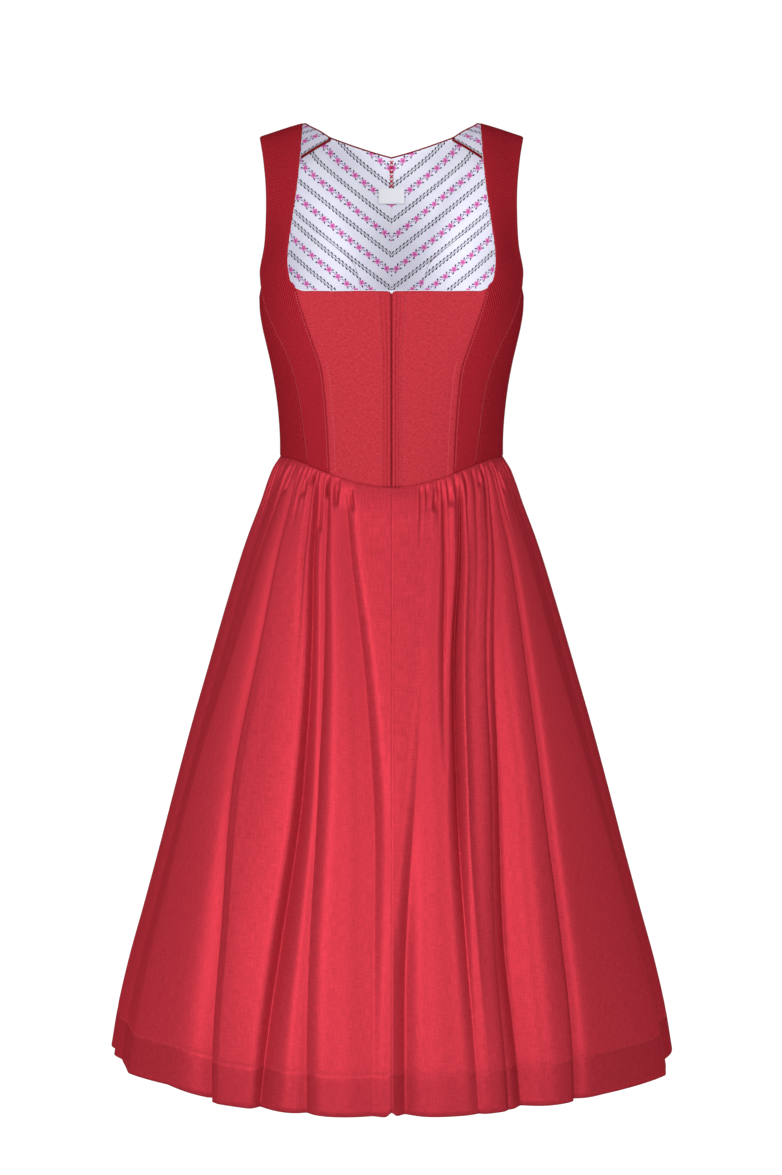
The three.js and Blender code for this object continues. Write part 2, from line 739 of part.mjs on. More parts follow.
function widthGrid(width, layer) {
  const turns = [...allAngles, ...allAngles.map((angle) => angle - 360)];
  const angles = turns.filter((angle) => angle > width.from - TINY && angle < width.to + TINY);
  angles.sort((a, b) => a - b);
  const unique = angles.filter((angle, i) => i === 0 || angle - angles[i - 1] > TINY);
  return SKIRT_ROWS.map((s) => {
    const halfWidth = tableAt(SKIRT_FORM, s, 1);
    const trim = THREE.MathUtils.radToDeg(SEAM_GAP / 2 / (LEAST_TRAVEL * halfWidth));
    return unique.map((angle) => {
      const clear = clamp(angle, width.from + trim, width.to - trim);
      const signed = clear > 180 ? clear - 360 : clear;
      return skirtPoint(signed, s, layer === "outer" ? 0 : skirtWall(s));
    });
  });
}

for (const width of WIDTHS) {
  add(width.name, wall(widthGrid(width, "outer"), widthGrid(width, "inner")), SKIRT_CLOTH);
}

export default dirndl;
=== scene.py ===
# Dirndl: a sleeveless midi dress with a panelled, lined bodice and a gathered satin skirt.
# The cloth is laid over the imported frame: finer folds, print, seams, stitches and weave.
import math

import bmesh
import bpy
import numpy as np
from mathutils import Matrix, Vector


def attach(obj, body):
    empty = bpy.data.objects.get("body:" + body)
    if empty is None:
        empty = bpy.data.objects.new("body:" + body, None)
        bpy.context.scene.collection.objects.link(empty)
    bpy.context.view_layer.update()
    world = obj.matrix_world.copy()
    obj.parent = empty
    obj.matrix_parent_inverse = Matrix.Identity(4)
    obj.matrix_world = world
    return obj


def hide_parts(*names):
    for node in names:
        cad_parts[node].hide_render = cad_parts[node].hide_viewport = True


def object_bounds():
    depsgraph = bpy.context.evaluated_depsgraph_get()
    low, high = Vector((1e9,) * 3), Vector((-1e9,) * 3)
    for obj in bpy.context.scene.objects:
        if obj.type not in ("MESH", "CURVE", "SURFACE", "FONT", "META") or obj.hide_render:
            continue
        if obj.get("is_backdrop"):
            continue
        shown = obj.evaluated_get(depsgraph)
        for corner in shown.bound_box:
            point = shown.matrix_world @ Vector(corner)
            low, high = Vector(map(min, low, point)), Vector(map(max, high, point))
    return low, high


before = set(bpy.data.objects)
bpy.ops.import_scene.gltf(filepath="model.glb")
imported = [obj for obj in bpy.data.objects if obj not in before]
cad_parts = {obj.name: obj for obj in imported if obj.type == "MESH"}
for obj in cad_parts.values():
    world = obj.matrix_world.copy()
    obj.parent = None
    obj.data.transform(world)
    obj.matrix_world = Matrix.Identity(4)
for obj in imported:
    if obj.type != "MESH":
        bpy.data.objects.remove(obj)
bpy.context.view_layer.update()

MM = 0.001


# ---------------------------------------------------------------- camera
# A portrait camera 3.3 m in front of the dress, a little below its shoulders, tilted down.
CAMERA_PLACE = (-0.0006, -3.3, -0.164)
CAMERA_TILT_DOWN = 6.428
CAMERA_LENS = 87.16

camera = bpy.data.objects.new("camera", bpy.data.cameras.new("camera"))
camera.location = CAMERA_PLACE
camera.rotation_euler = (math.radians(90 - CAMERA_TILT_DOWN), 0, 0)
camera.data.sensor_width = 36
camera.data.lens = CAMERA_LENS
bpy.context.scene.collection.objects.link(camera)
bpy.context.scene.camera = camera
bpy.context.scene.view_settings.view_transform = "Standard"


# ---------------------------------------------------------------- studio
# A round room of matt white paper: a pale floor that curves up into its wall, so that it
# shows no edge from any side. It is not part of the dress.
FLOOR_Z = -1.5
ROOM_RADIUS = 9.0
COVE_RADIUS = 2.5
WALL_HEIGHT = 8.0
COVE_STEPS = 12
ROOM_SIDES = 72
# How strongly the paper glows behind the dress, on the floor and on the wall elsewhere.
GLOW_BEHIND = 0.9
FLOOR_GLOW = 0.28
WALL_GLOW = 0.22
# The bright strip: its half width where it starts and stops fading, how much it widens
# towards the back, and where it sets in from the front to the back, in metres.
STRIP_INNER, STRIP_OUTER = 0.6, 3.6
STRIP_SPREAD = -0.13
STRIP_FRONT, STRIP_BACK = -2.0, 0.7
WORLD_STRENGTH = 0.16


def linear(hex_colour):
    """An sRGB hex colour as linear red, green, blue and full opacity."""
    parts = [int(hex_colour[i:i + 2], 16) / 255 for i in (1, 3, 5)]
    return [c / 12.92 if c <= 0.04045 else ((c + 0.055) / 1.055) ** 2.4 for c in parts] + [1]


def add_node(material, kind, inputs=None, **settings):
    """Adds a node with its settings; inputs are values, sockets, or nodes to link."""
    made = material.node_tree.nodes.new(kind)
    for name, value in settings.items():
        setattr(made, name, value)
    for key, value in (inputs or {}).items():
        if isinstance(value, bpy.types.Node):
            value = value.outputs[0]
        if isinstance(value, bpy.types.NodeSocket):
            material.node_tree.links.new(value, made.inputs[key])
        else:
            made.inputs[key].default_value = value
    return made


def new_material(name):
    material = bpy.data.materials.new(name)
    material.use_nodes = True
    material.node_tree.nodes.clear()
    return material


def finish_material(material, shader):
    add_node(material, "ShaderNodeOutputMaterial", {"Surface": shader})
    return material


# White paper roll: uncoated, fully matt. It glows brightest in a strip behind the dress and
# dimly all round, so the eye sees an even pale ground without edges.
paper = new_material("matt_white_paper")
paper_place = add_node(paper, "ShaderNodeSeparateXYZ", {
    0: add_node(paper, "ShaderNodeTexCoord").outputs["Object"],
})
aside = add_node(paper, "ShaderNodeMath", {0: paper_place.outputs["X"]}, operation="ABSOLUTE")
spread = add_node(paper, "ShaderNodeMath", {
    0: paper_place.outputs["Y"], 1: STRIP_SPREAD, 2: aside,
}, operation="MULTIPLY_ADD")
in_strip = add_node(paper, "ShaderNodeMapRange", {
    "Value": spread, "From Min": STRIP_INNER, "From Max": STRIP_OUTER, "To Min": 1, "To Max": 0,
}, interpolation_type="SMOOTHSTEP")
behind = add_node(paper, "ShaderNodeMapRange", {
    "Value": paper_place.outputs["Y"], "From Min": STRIP_FRONT, "From Max": STRIP_BACK,
}, interpolation_type="SMOOTHSTEP")
paper_share = add_node(paper, "ShaderNodeMath", {0: in_strip, 1: behind}, operation="MULTIPLY")
around = add_node(paper, "ShaderNodeMapRange", {
    "Value": paper_place.outputs["Z"], "From Min": FLOOR_Z, "From Max": FLOOR_Z + COVE_RADIUS,
    "To Min": FLOOR_GLOW, "To Max": WALL_GLOW,
}, interpolation_type="SMOOTHSTEP")
paper_glow = add_node(paper, "ShaderNodeMapRange", {
    "Value": paper_share, "To Min": around, "To Max": GLOW_BEHIND,
})
finish_material(paper, add_node(paper, "ShaderNodeBsdfPrincipled", {
    "Base Color": linear("#868686"),
    "Roughness": 0.9,
    "Emission Color": linear("#FFFFFF"),
    "Emission Strength": paper_glow.outputs[0],
}))

room = bmesh.new()
profile = [(0, FLOOR_Z), (ROOM_RADIUS - COVE_RADIUS, FLOOR_Z)]
for step in range(1, COVE_STEPS + 1):
    turn = math.radians(90 * step / COVE_STEPS)
    across = ROOM_RADIUS - COVE_RADIUS * (1 - math.sin(turn))
    profile.append((across, FLOOR_Z + COVE_RADIUS * (1 - math.cos(turn))))
profile.append((ROOM_RADIUS, FLOOR_Z + WALL_HEIGHT))
corners = [room.verts.new((x, 0, z)) for x, z in profile]
for low, high in zip(corners, corners[1:]):
    room.edges.new((low, high))
bmesh.ops.spin(
    room, geom=room.verts[:] + room.edges[:], cent=(0, 0, 0), axis=(0, 0, 1),
    angle=math.tau, steps=ROOM_SIDES, use_merge=True,
)
bmesh.ops.remove_doubles(room, verts=room.verts, dist=1e-5)
bmesh.ops.recalc_face_normals(room, faces=room.faces)
room_mesh = bpy.data.meshes.new("studio")
room.to_mesh(room_mesh)
room.free()
room_mesh.shade_smooth()
room_mesh.materials.append(paper)
studio = bpy.data.objects.new("studio", room_mesh)
bpy.context.scene.collection.objects.link(studio)
studio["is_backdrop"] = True

# Soft boxes: one in front, one at each side of it and one behind.
# columns: name, place, aimed at, size, power
SOFT_BOXES = [
    ("key", (-0.3, -5.2, 0.8), (0, 0, -0.7), 2.0, 98),
    ("key_right", (-3.2, -4.2, 1.0), (0, 0, -0.9), 1.5, 134),
    ("key_left", (2.9, -4.4, 0.9), (0, 0, -0.9), 1.5, 84),
    ("behind", (0.0, 5.2, 2.0), (0, 0, -0.6), 2.4, 90),
]
for name, place, target, size, power in SOFT_BOXES:
    light = bpy.data.objects.new(name, bpy.data.lights.new(name, "AREA"))
    light.data.size = size
    light.data.energy = power
    light.location = place
    aim = Vector(target) - Vector(place)
    light.rotation_euler = aim.to_track_quat("-Z", "Y").to_euler()
    light.visible_camera = False
    bpy.context.scene.collection.objects.link(light)

world = bpy.data.worlds.new("studio_light")
world.use_nodes = True
world.node_tree.nodes["Background"].inputs["Color"].default_value = linear("#F4F6FA")
world.node_tree.nodes["Background"].inputs["Strength"].default_value = WORLD_STRENGTH
bpy.context.scene.world = world


# ---------------------------------------------------------------- bodice lining
# Ten lining panels of white cotton with printed stripes of small flowers and of leaf
# sprigs. They are cut on the slant at the back, so the stripes meet in a V, and sewn
# inside the bodice 1.5 mm below its face.
WAIST_HALF_WIDTH = 129.5
WAIST_FRONT = 97
WAIST_BACK = 92
WAIST_SIDE_Z = -382.5
WAIST_BACK_RISE = 2.5
DIP_DEPTH = 29
DIP_HALF_SPAN = 120
DIP_POWER = 1.5

# Seams from the waist up. columns: x, y, z, direction of the cloth's cross line in plan
CENTRE_FRONT = [
    (0, -97, -412, 0), (0, -103, -372, 0), (0, -110, -330, 0), (0, -115.5, -288, 0),
    (0, -119, -255, 0), (0, -120.5, -218, 0), (0, -119.5, -190.6, 0),
]
PRINCESS_SEAM = [
    (70.9, -81.2, -398, 26), (72, -90, -359, 24), (74.5, -99, -317, 22), (79, -107, -277, 20),
    (89, -110, -247, 20), (101, -109, -211, 24), (108, -106.5, -187, 28),
]
SIDE_FRONT_SEAM = [
    (97, -64.3, -387.4, 40), (100.5, -72, -354, 42), (106, -80, -310, 44), (114, -85, -276, 46),
    (125.5, -81, -248, 52), (140, -64, -220, 62), (149, -38, -190, 74),
]
SIDE_SEAM = [
    (128.5, 11.2, -383, 96), (129.3, 12, -350, 94), (133, 13, -312, 93), (139, 13, -276, 92),
    (146, 12, -244, 92), (151.5, 11, -218, 92), (153.5, 10, -196, 92),
]
SIDE_BACK_SEAM = [
    (40, 87.5, -380.3, 167), (37, 94, -325, 169), (34.5, 101, -262, 171),
    (36, 105.5, -205, 170), (43.5, 106.5, -165, 166), (62, 104, -145, 160),
    (86, 97, -126, 151), (118, 79, -102, 134), (144.5, 55, -88, 112),
]
CENTRE_BACK = [
    (0, 92, -380, 180), (0, 95, -340, 180), (0, 100, -290, 180), (0, 105, -235, 180),
    (0, 107, -190, 180), (0, 105.5, -150, 180), (0, 101, -110, 180), (0, 92, -72, 180),
    (0, 79, -37, 180),
]
STRAP_NECK_EDGE = [
    (114, -104, -178, 34), (117, -99, -160, 38), (116, -92, -138, 36), (112, -84, -110, 32),
    (107, -72, -74, 26), (103.5, -56, -39, 18), (102, -30, -11, 8), (101.4, 0, 0, 0),
    (95, 17, -2, 0), (84, 32, -7, 0), (71.4, 45, -15, 0),
]
STRAP_ARMHOLE_EDGE = [
    (150.5, -39.5, -178, 72), (150.5, -42, -165, 68), (145.5, -47, -138, 58),
    (143.3, -50, -105, 48), (143.4, -46, -73, 36), (146.6, -28, -42, 22),
    (150.4, -8, -21, 8), (152, 10, -15, 0), (151, 28, -20, 0), (148.5, 46, -38, 0),
    (145.5, 62, -62, 0),
]
BACK_SHOULDER_CORNER = (145.5, 62, -62, 178)

# Upper edges. columns: x, y, z
NECKLINE_FRONT = [
    (0, -119.5, -190.6), (30, -119, -190.2), (62, -115.5, -190.6), (88, -111, -190.4),
    (100, -108.8, -190.3), (108, -106.5, -187),
]
ARMHOLE_UNDER = [(149, -38, -190), (152, -14, -196.5), (153.5, 10, -196)]
ARMHOLE_BACK = [
    (153.5, 10, -196), (151.5, 30, -180), (148, 43, -152), (145, 51, -120), (144.5, 55, -88),
]
SHOULDER_SEAM = [
    (145.5, 62, -62), (127, 61, -48), (104, 56.5, -33.5), (86, 51, -22.5), (71.4, 45, -15),
]
NECKLINE_BACK = [
    (71.4, 45, -15), (58, 56.5, -19.5), (43, 66.5, -24.5), (20.5, 75.5, -31.5), (0, 79, -37),
]


def smooth_line(rows, t):
    """A smooth line through a table's rows; t runs from 0 to 1."""
    rows = np.asarray(rows, float)
    place = np.clip(t, 0, 1) * (len(rows) - 1)
    i = np.minimum(np.floor(place).astype(int), len(rows) - 2)
    w = (place - i)[..., None]
    padded = np.vstack([2 * rows[0] - rows[1], rows, 2 * rows[-1] - rows[-2]])
    before, start, end, after = (padded[i + k] for k in range(4))
    slope_in = (end - before) / 2
    slope_out = (after - start) / 2
    rise = end - start
    bend = slope_in + slope_out - 2 * rise
    return start + w * (slope_in + w * (rise - slope_in - bend + w * bend))


def resampled(rows, spans):
    return smooth_line(rows, np.linspace(0, 1, spans + 1))


def smoothstep(low, high, x):
    t = np.clip((x - low) / (high - low), 0, 1)
    return t * t * (3 - 2 * t)


def waist_point(angle):
    """A point of the waist seam at an angle from the centre front, in degrees."""
    turn = np.radians(angle)
    x = WAIST_HALF_WIDTH * np.sin(turn)
    y = -np.where(np.cos(turn) > 0, WAIST_FRONT, WAIST_BACK) * np.cos(turn)
    reach = np.maximum(0, 1 - (x / DIP_HALF_SPAN) ** 2)
    front = WAIST_SIDE_Z - DIP_DEPTH * reach ** DIP_POWER
    back = WAIST_SIDE_Z + WAIST_BACK_RISE * np.cos(turn) ** 2
    return np.stack([x, y, np.where(np.cos(turn) > 0, front, back)], axis=-1)


SEAM_SPANS = 8
neck_line = np.vstack([resampled(PRINCESS_SEAM, SEAM_SPANS), STRAP_NECK_EDGE])
armhole_line = np.vstack([resampled(SIDE_FRONT_SEAM, SEAM_SPANS), STRAP_ARMHOLE_EDGE])
side_line = resampled(SIDE_SEAM, SEAM_SPANS)
shoulder_line = np.vstack([resampled(SIDE_BACK_SEAM, SEAM_SPANS), BACK_SHOULDER_CORNER])
PANELS = {
    "centre_front": {
        "left": resampled(CENTRE_FRONT, SEAM_SPANS), "right": neck_line,
        "spans": SEAM_SPANS, "waist": (0, 33.2),
        "top": [NECKLINE_FRONT], "top_from": 0.6,
    },
    "side_front": {
        "left": neck_line, "right": armhole_line,
        "spans": len(neck_line) - 1, "waist": (33.2, 48.5),
        "top": [SHOULDER_SEAM[::-1]], "top_from": 0.8,
    },
    "side": {
        "left": armhole_line, "right": side_line,
        "spans": SEAM_SPANS, "waist": (48.5, 97),
        "top": [ARMHOLE_UNDER], "top_from": 0.6,
    },
    "side_back": {
        "left": side_line, "right": shoulder_line,
        "spans": SEAM_SPANS, "waist": (97, 162),
        "top": [ARMHOLE_BACK], "top_from": 0.4,
    },
    "centre_back": {
        "left": shoulder_line, "right": resampled(CENTRE_BACK, SEAM_SPANS + 1),
        "spans": SEAM_SPANS + 1, "waist": (162, 180),
        "top": [SHOULDER_SEAM, NECKLINE_BACK], "top_from": 0.45,
    },
}


def span_point(panel, u, v):
    """The plain surface between the panel's two seams."""
    left = smooth_line(panel["left"], v * panel["spans"] / (len(panel["left"]) - 1))
    right = smooth_line(panel["right"], v * panel["spans"] / (len(panel["right"]) - 1))
    chord = right[..., :3] - left[..., :3]
    plan = np.hypot(chord[..., 0], chord[..., 1])

    def slope(turn):
        turn = np.radians(turn)
        return np.stack([np.cos(turn) * plan, np.sin(turn) * plan, chord[..., 2]], axis=-1)

    u = u[..., None]
    return (
        left[..., :3] * (2 * u ** 3 - 3 * u ** 2 + 1)
        + slope(left[..., 3]) * (u ** 3 - 2 * u ** 2 + u)
        + right[..., :3] * (3 * u ** 2 - 2 * u ** 3)
        + slope(right[..., 3]) * (u ** 3 - u ** 2)
    )


def top_point(panel, u):
    place = np.clip(u, 0, 1) * len(panel["top"])
    first = np.minimum(np.floor(place).astype(int), len(panel["top"]) - 1)
    lines = [smooth_line(line, place - i) for i, line in enumerate(panel["top"])]
    return np.choose(first[..., None], lines)


def panel_point(panel, u, v):
    """The panel's face, its lower edge on the waist seam and its upper edge in line."""
    u, v = np.broadcast_arrays(np.asarray(u, float), np.asarray(v, float))
    waist = waist_point(panel["waist"][0] + (panel["waist"][1] - panel["waist"][0]) * u)
    low = waist - span_point(panel, u, np.zeros_like(v))
    high = top_point(panel, u) - span_point(panel, u, np.ones_like(v))
    low_share = ((1 - v) ** 3)[..., None]
    high_share = smoothstep(panel["top_from"], 1, v)[..., None]
    return span_point(panel, u, v) + low * low_share + high * high_share


def row_lengths(points, axis):
    """Distance along a grid from its first row or column to each point."""
    steps = np.linalg.norm(np.diff(points, axis=axis), axis=-1)
    start = np.zeros_like(np.take(steps, [0], axis=axis))
    return np.cumsum(np.concatenate([start, steps], axis=axis), axis=axis)


def face_directions(points):
    """Unit directions out of a grid's face."""
    across = np.gradient(points, axis=1)
    up = np.gradient(points, axis=0)
    out = np.cross(across, up)
    return out / np.linalg.norm(out, axis=-1, keepdims=True)


def eased(count, crowding):
    """Even steps from 0 to 1 that crowd towards both ends."""
    t = np.linspace(0, 1, count + 1)
    return t - crowding * np.sin(math.tau * t) / math.tau


def panel_grid(panel, cell):
    """A panel's face as a grid of about one point a cell, closer beside the seams."""
    ends = panel_point(panel, np.array([[0.0, 0.5, 1.0]]), np.linspace(0, 1, 60)[:, None])
    width = np.linalg.norm(ends[:, 2] - ends[:, 0], axis=-1).max()
    height = row_lengths(ends, 0)[-1].max()
    u = eased(math.ceil(width / cell), 0.6)[None, :]
    v = eased(math.ceil(height / cell), 0.4)[:, None]
    return panel_point(panel, u, v)


def cloth_object(name, points, chart, thickness, material):
    """A sheet of cloth through a grid of points in mm, with its own chart in metres."""
    rows, columns = points.shape[:2]
    flat = bmesh.new()
    bmesh.ops.create_grid(flat, x_segments=columns - 1, y_segments=rows - 1, size=1)
    mesh = bpy.data.meshes.new(name)
    flat.to_mesh(mesh)
    flat.free()
    plan = np.empty(len(mesh.vertices) * 3)
    mesh.vertices.foreach_get("co", plan)
    plan = plan.reshape(-1, 3)[:, :2]
    share = (plan - plan.min(axis=0)) / np.ptp(plan, axis=0)
    column = np.rint(share[:, 0] * (columns - 1)).astype(int)
    row = np.rint(share[:, 1] * (rows - 1)).astype(int)
    mesh.vertices.foreach_set("co", (points[row, column] * MM).ravel())
    corner = np.empty(len(mesh.loops), np.int32)
    mesh.loops.foreach_get("vertex_index", corner)
    layer = mesh.uv_layers.new(name="cloth")
    layer.uv.foreach_set("vector", (chart[row, column] * MM)[corner].ravel())
    mesh.shade_smooth()
    mesh.materials.append(material)
    piece = bpy.data.objects.new(name, mesh)
    bpy.context.scene.collection.objects.link(piece)
    wall = piece.modifiers.new("cloth", "SOLIDIFY")
    wall.thickness = thickness * MM
    wall.offset = -1
    return piece


def mirrored(grid):
    """The wearer's right panel from the left one, its face still outwards."""
    return grid[:, ::-1] * (-1, 1, 1)


LINING_DEPTH = 1.5
LINING_THICKNESS = 0.8
LINING_CELL = 4.0
LINING_EDGE_SHOWS = 0.7
STRAP_EDGE_SHOWS = 0.2
LINING_DRAWN_IN = 1.2
STRIPE_SLANT = 37.4
STRIPE_PERIOD = 31.8
FLOWER_PITCH = 13.8
SPRIG_PITCH = 5.5
FLOWER_ROW_Z = -90
SIDE_BACK_SHIFT = 12


def plan_from_last(points):
    """Distance in plan from each point of a grid to its last column."""
    around = row_lengths(points * (1, 1, 0), 1)
    return around[:, -1:] - around


def stripe_chart(points, beyond, shift):
    """Along and across the printed stripes, which rise outwards from the centre back.
    beyond is how far each row's last point lies from the centre back."""
    slant = math.radians(STRIPE_SLANT)
    around = plan_from_last(points) + beyond
    z = points[..., 2] - FLOWER_ROW_Z
    along = around * math.cos(slant) + z * math.sin(slant)
    across = z * math.cos(slant) - around * math.sin(slant) + shift
    return np.stack([along, across], axis=-1)


def square_chart(points):
    """Across and up the panel, in mm."""
    across = row_lengths(points, 1)
    middle = points.shape[1] // 2
    up = row_lengths(points, 0)[:, middle:middle + 1] + np.zeros_like(across)
    return np.stack([across - across[:, middle:middle + 1], up], axis=-1)


# Cotton print: matt plain weave, roller printed. The eye sees crisp small figures on a
# cool white ground and hardly any gloss.
def lining_print():
    m = new_material("printed_cotton_lining")
    chart = add_node(m, "ShaderNodeUVMap", uv_map="cloth")
    mm = add_node(m, "ShaderNodeVectorMath", {0: chart, 1: (1000, 1000, 1000)}, operation="MULTIPLY")
    wobble = add_node(m, "ShaderNodeTexNoise", {"Vector": mm, "Scale": 0.35, "Detail": 1})
    centred = add_node(m, "ShaderNodeVectorMath", {0: wobble.outputs["Color"], 1: (0.5, 0.5, 0.5)},
                       operation="SUBTRACT")
    uneven = add_node(m, "ShaderNodeVectorMath", {0: centred, 3: 0.9}, operation="SCALE")
    place = add_node(m, "ShaderNodeVectorMath", {0: mm, 1: uneven}, operation="ADD")
    split = add_node(m, "ShaderNodeSeparateXYZ", {0: place})
    along, across = split.outputs[0], split.outputs[1]

    def wrapped(value, period, offset):
        """Distance from the nearest repeat of a figure."""
        moved = add_node(m, "ShaderNodeMath", {0: value, 1: offset}, operation="SUBTRACT")
        return add_node(m, "ShaderNodeMath", {0: moved, 1: -period / 2, 2: period / 2},
                        operation="WRAP")

    def spot(a, b, centre, radii, turn):
        """1 inside an ellipse, 0 outside, with a soft printed edge."""
        shifted = add_node(m, "ShaderNodeCombineXYZ", {0: a, 1: b})
        turned = add_node(m, "ShaderNodeMapping", {
            "Vector": shifted, "Location": (*centre, 0), "Rotation": (0, 0, math.radians(turn)),
            "Scale": (*radii, 1),
        }, vector_type="TEXTURE")
        reach = add_node(m, "ShaderNodeVectorMath", {0: turned}, operation="LENGTH")
        return add_node(m, "ShaderNodeMapRange", {
            "Value": reach.outputs["Value"], "From Min": 0.8, "From Max": 1.2,
            "To Min": 1, "To Max": 0,
        })

    def either(first, second):
        return add_node(m, "ShaderNodeMath", {0: first, 1: second}, operation="MAXIMUM")

    def printed(ground, mask, ink):
        return add_node(m, "ShaderNodeMix", {0: mask, 6: ground, 7: linear(ink)},
                        data_type="RGBA").outputs[2]

    flower_a = wrapped(along, FLOWER_PITCH, 0)
    flower_b = wrapped(across, STRIPE_PERIOD, 0)
    petals = None
    for petal in range(5):
        turn = 90 + 72 * petal
        centre = (2.0 * math.cos(math.radians(turn)), 2.0 * math.sin(math.radians(turn)))
        shape = spot(flower_a, flower_b, centre, (1.65, 1.35), turn)
        petals = shape if petals is None else either(petals, shape)
    heart = spot(flower_a, flower_b, (0, 0), (1.0, 1.0), 0)
    leaves = None
    for a, b, turn in [(4.2, 2.6, 35), (-4.2, 2.4, -35), (3.9, -2.9, -35), (-3.6, -3.0, 35)]:
        shape = spot(flower_a, flower_b, (a, b), (1.5, 0.95), turn)
        leaves = shape if leaves is None else either(leaves, shape)
    beads_a = wrapped(along, FLOWER_PITCH, FLOWER_PITCH / 2)
    beads = spot(beads_a, flower_b, (0, 0.6), (0.95, 0.95), 0)
    side_beads = either(spot(beads_a, flower_b, (2.3, -0.5), (0.75, 0.75), 0),
                        spot(beads_a, flower_b, (-2.3, 0.2), (0.75, 0.75), 0))

    sprig_b = wrapped(across, STRIPE_PERIOD, STRIPE_PERIOD / 2)
    sprig_a = wrapped(along, SPRIG_PITCH, 0)
    sprig_c = wrapped(along, SPRIG_PITCH, SPRIG_PITCH / 2)
    sprigs = either(spot(sprig_a, sprig_b, (0, 1.7), (2.0, 0.85), 20),
                    spot(sprig_c, sprig_b, (0, -1.7), (2.0, 0.85), 20))
    stems = either(spot(sprig_c, sprig_b, (0, 0.8), (1.5, 0.45), -12),
                   spot(sprig_a, sprig_b, (0, -0.8), (1.5, 0.45), -12))

    shade = add_node(m, "ShaderNodeTexNoise", {"Vector": mm, "Scale": 0.03, "Detail": 3})
    ground = add_node(m, "ShaderNodeMix", {
        0: shade.outputs[0], 6: linear("#DADBEA"), 7: linear("#EAEBF5"),
    }, data_type="RGBA").outputs[2]
    colour = printed(ground, stems, "#7C7C8C")
    colour = printed(colour, sprigs, "#222830")
    colour = printed(colour, leaves, "#33335A")
    colour = printed(colour, beads, "#6B4F9A")
    colour = printed(colour, side_beads, "#B460B0")
    colour = printed(colour, petals, "#D86CB4")
    colour = printed(colour, heart, "#B0468F")
    # Plain weave, threads 0.4 mm apart in truth, drawn 1.2 mm apart so that it shows.
    weave = add_node(m, "ShaderNodeTexNoise", {"Vector": mm, "Scale": 0.8, "Detail": 2})
    bump = add_node(m, "ShaderNodeBump", {"Height": weave.outputs[0], "Strength": 0.15,
                                          "Distance": 0.4 * MM})
    return finish_material(m, add_node(m, "ShaderNodeBsdfPrincipled", {
        "Base Color": colour, "Roughness": 0.85, "Normal": bump, "Specular IOR Level": 0.2,
    }))


def dressed(piece, node):
    """A piece of cloth that stands for a CAD node and goes with the dress."""
    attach(piece, "root")
    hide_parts(node)
    return piece


lining_cotton = lining_print()
for name, panel in PANELS.items():
    face = panel_grid(panel, LINING_CELL)
    out = face_directions(face)
    lining = face - out * LINING_DEPTH
    # Inside the neckline the lining is rolled a little over the edge, so a white line shows.
    if name == "centre_front":
        rolled = smoothstep(0.97, 1, np.linspace(0, 1, len(face)))
        lining[..., 2] += (rolled * LINING_EDGE_SHOWS)[:, None]
    if name == "side_front":
        strap = smoothstep(0.42, 0.46, np.linspace(0, 1, len(face)))
        inward = face[:, 0] - face[:, 1]
        inward /= np.linalg.norm(inward, axis=-1, keepdims=True)
        lining[:, 0] += inward * (strap * STRAP_EDGE_SHOWS)[:, None]
        lining[:, -1] += inward * (strap * LINING_DRAWN_IN)[:, None]
    # Under the arm it stays just short of the edge.
    if name in ("side", "side_back"):
        down = face[-2] - face[-1]
        down /= np.linalg.norm(down, axis=-1, keepdims=True)
        lining[-1] += down * LINING_DRAWN_IN
    if name == "centre_back":
        chart = stripe_chart(lining, 0, 0)
    elif name == "side_back":
        seam_height = np.linspace(0, 1, 200)[:, None] * SEAM_SPANS / (SEAM_SPANS + 1)
        whole_back = panel_point(PANELS["centre_back"], np.linspace(0, 1, 30)[None, :], seam_height)
        to_seam = plan_from_last(whole_back)[:, 0]
        beyond = np.interp(face[:, -1, 2], whole_back[:, 0, 2], to_seam)[:, None]
        chart = stripe_chart(lining, beyond, SIDE_BACK_SHIFT)
    else:
        chart = square_chart(lining)
    for side, grid, marks in (("l", lining, chart), ("r", mirrored(lining), chart[:, ::-1])):
        node = f"lining_{name}_{side}"
        piece = cloth_object(f"{node}_cotton", grid, marks, LINING_THICKNESS, lining_cotton)
        dressed(piece, node)


# ---------------------------------------------------------------- bodice
# Ten panels of dark red linen-like cloth: centre front, side front with the strap, side,
# side back and centre back, each twice. Their edges are turned in and sewn, so every seam
# is a narrow furrow. A boned channel runs beside each princess seam.
BODICE_THICKNESS = 1.0
BODICE_CELL = 2.6
SEAM_FURROW_DEPTH = 1.1
SEAM_FURROW_WIDTH = 1.3
CHANNEL_WIDTH = 8.5
CHANNEL_TOP = 0.56
CHANNEL_RISE = 0.45
CHANNEL_EDGE = 0.8
CHANNEL_END = 0.04
FURROW_LIMIT = 1.2
CLOSURE_TURN_IN = 1.4
CLOSURE_ROUND = 2
NOTCH_DEPTH = 3.0
NOTCH_HALF_WIDTH = 2.0
NOTCH_FROM = 0.97


# The rib of the shoulder straps: its turn in degrees, the distance of its ridges, and how
# far up the panel it sets in and is full.
RIB_TURN = 42
RIB_PITCH = 2.6
RIB_STARTS = 130
RIB_FULL = 230
WAVE_BANDS_PER_UNIT = 3.18


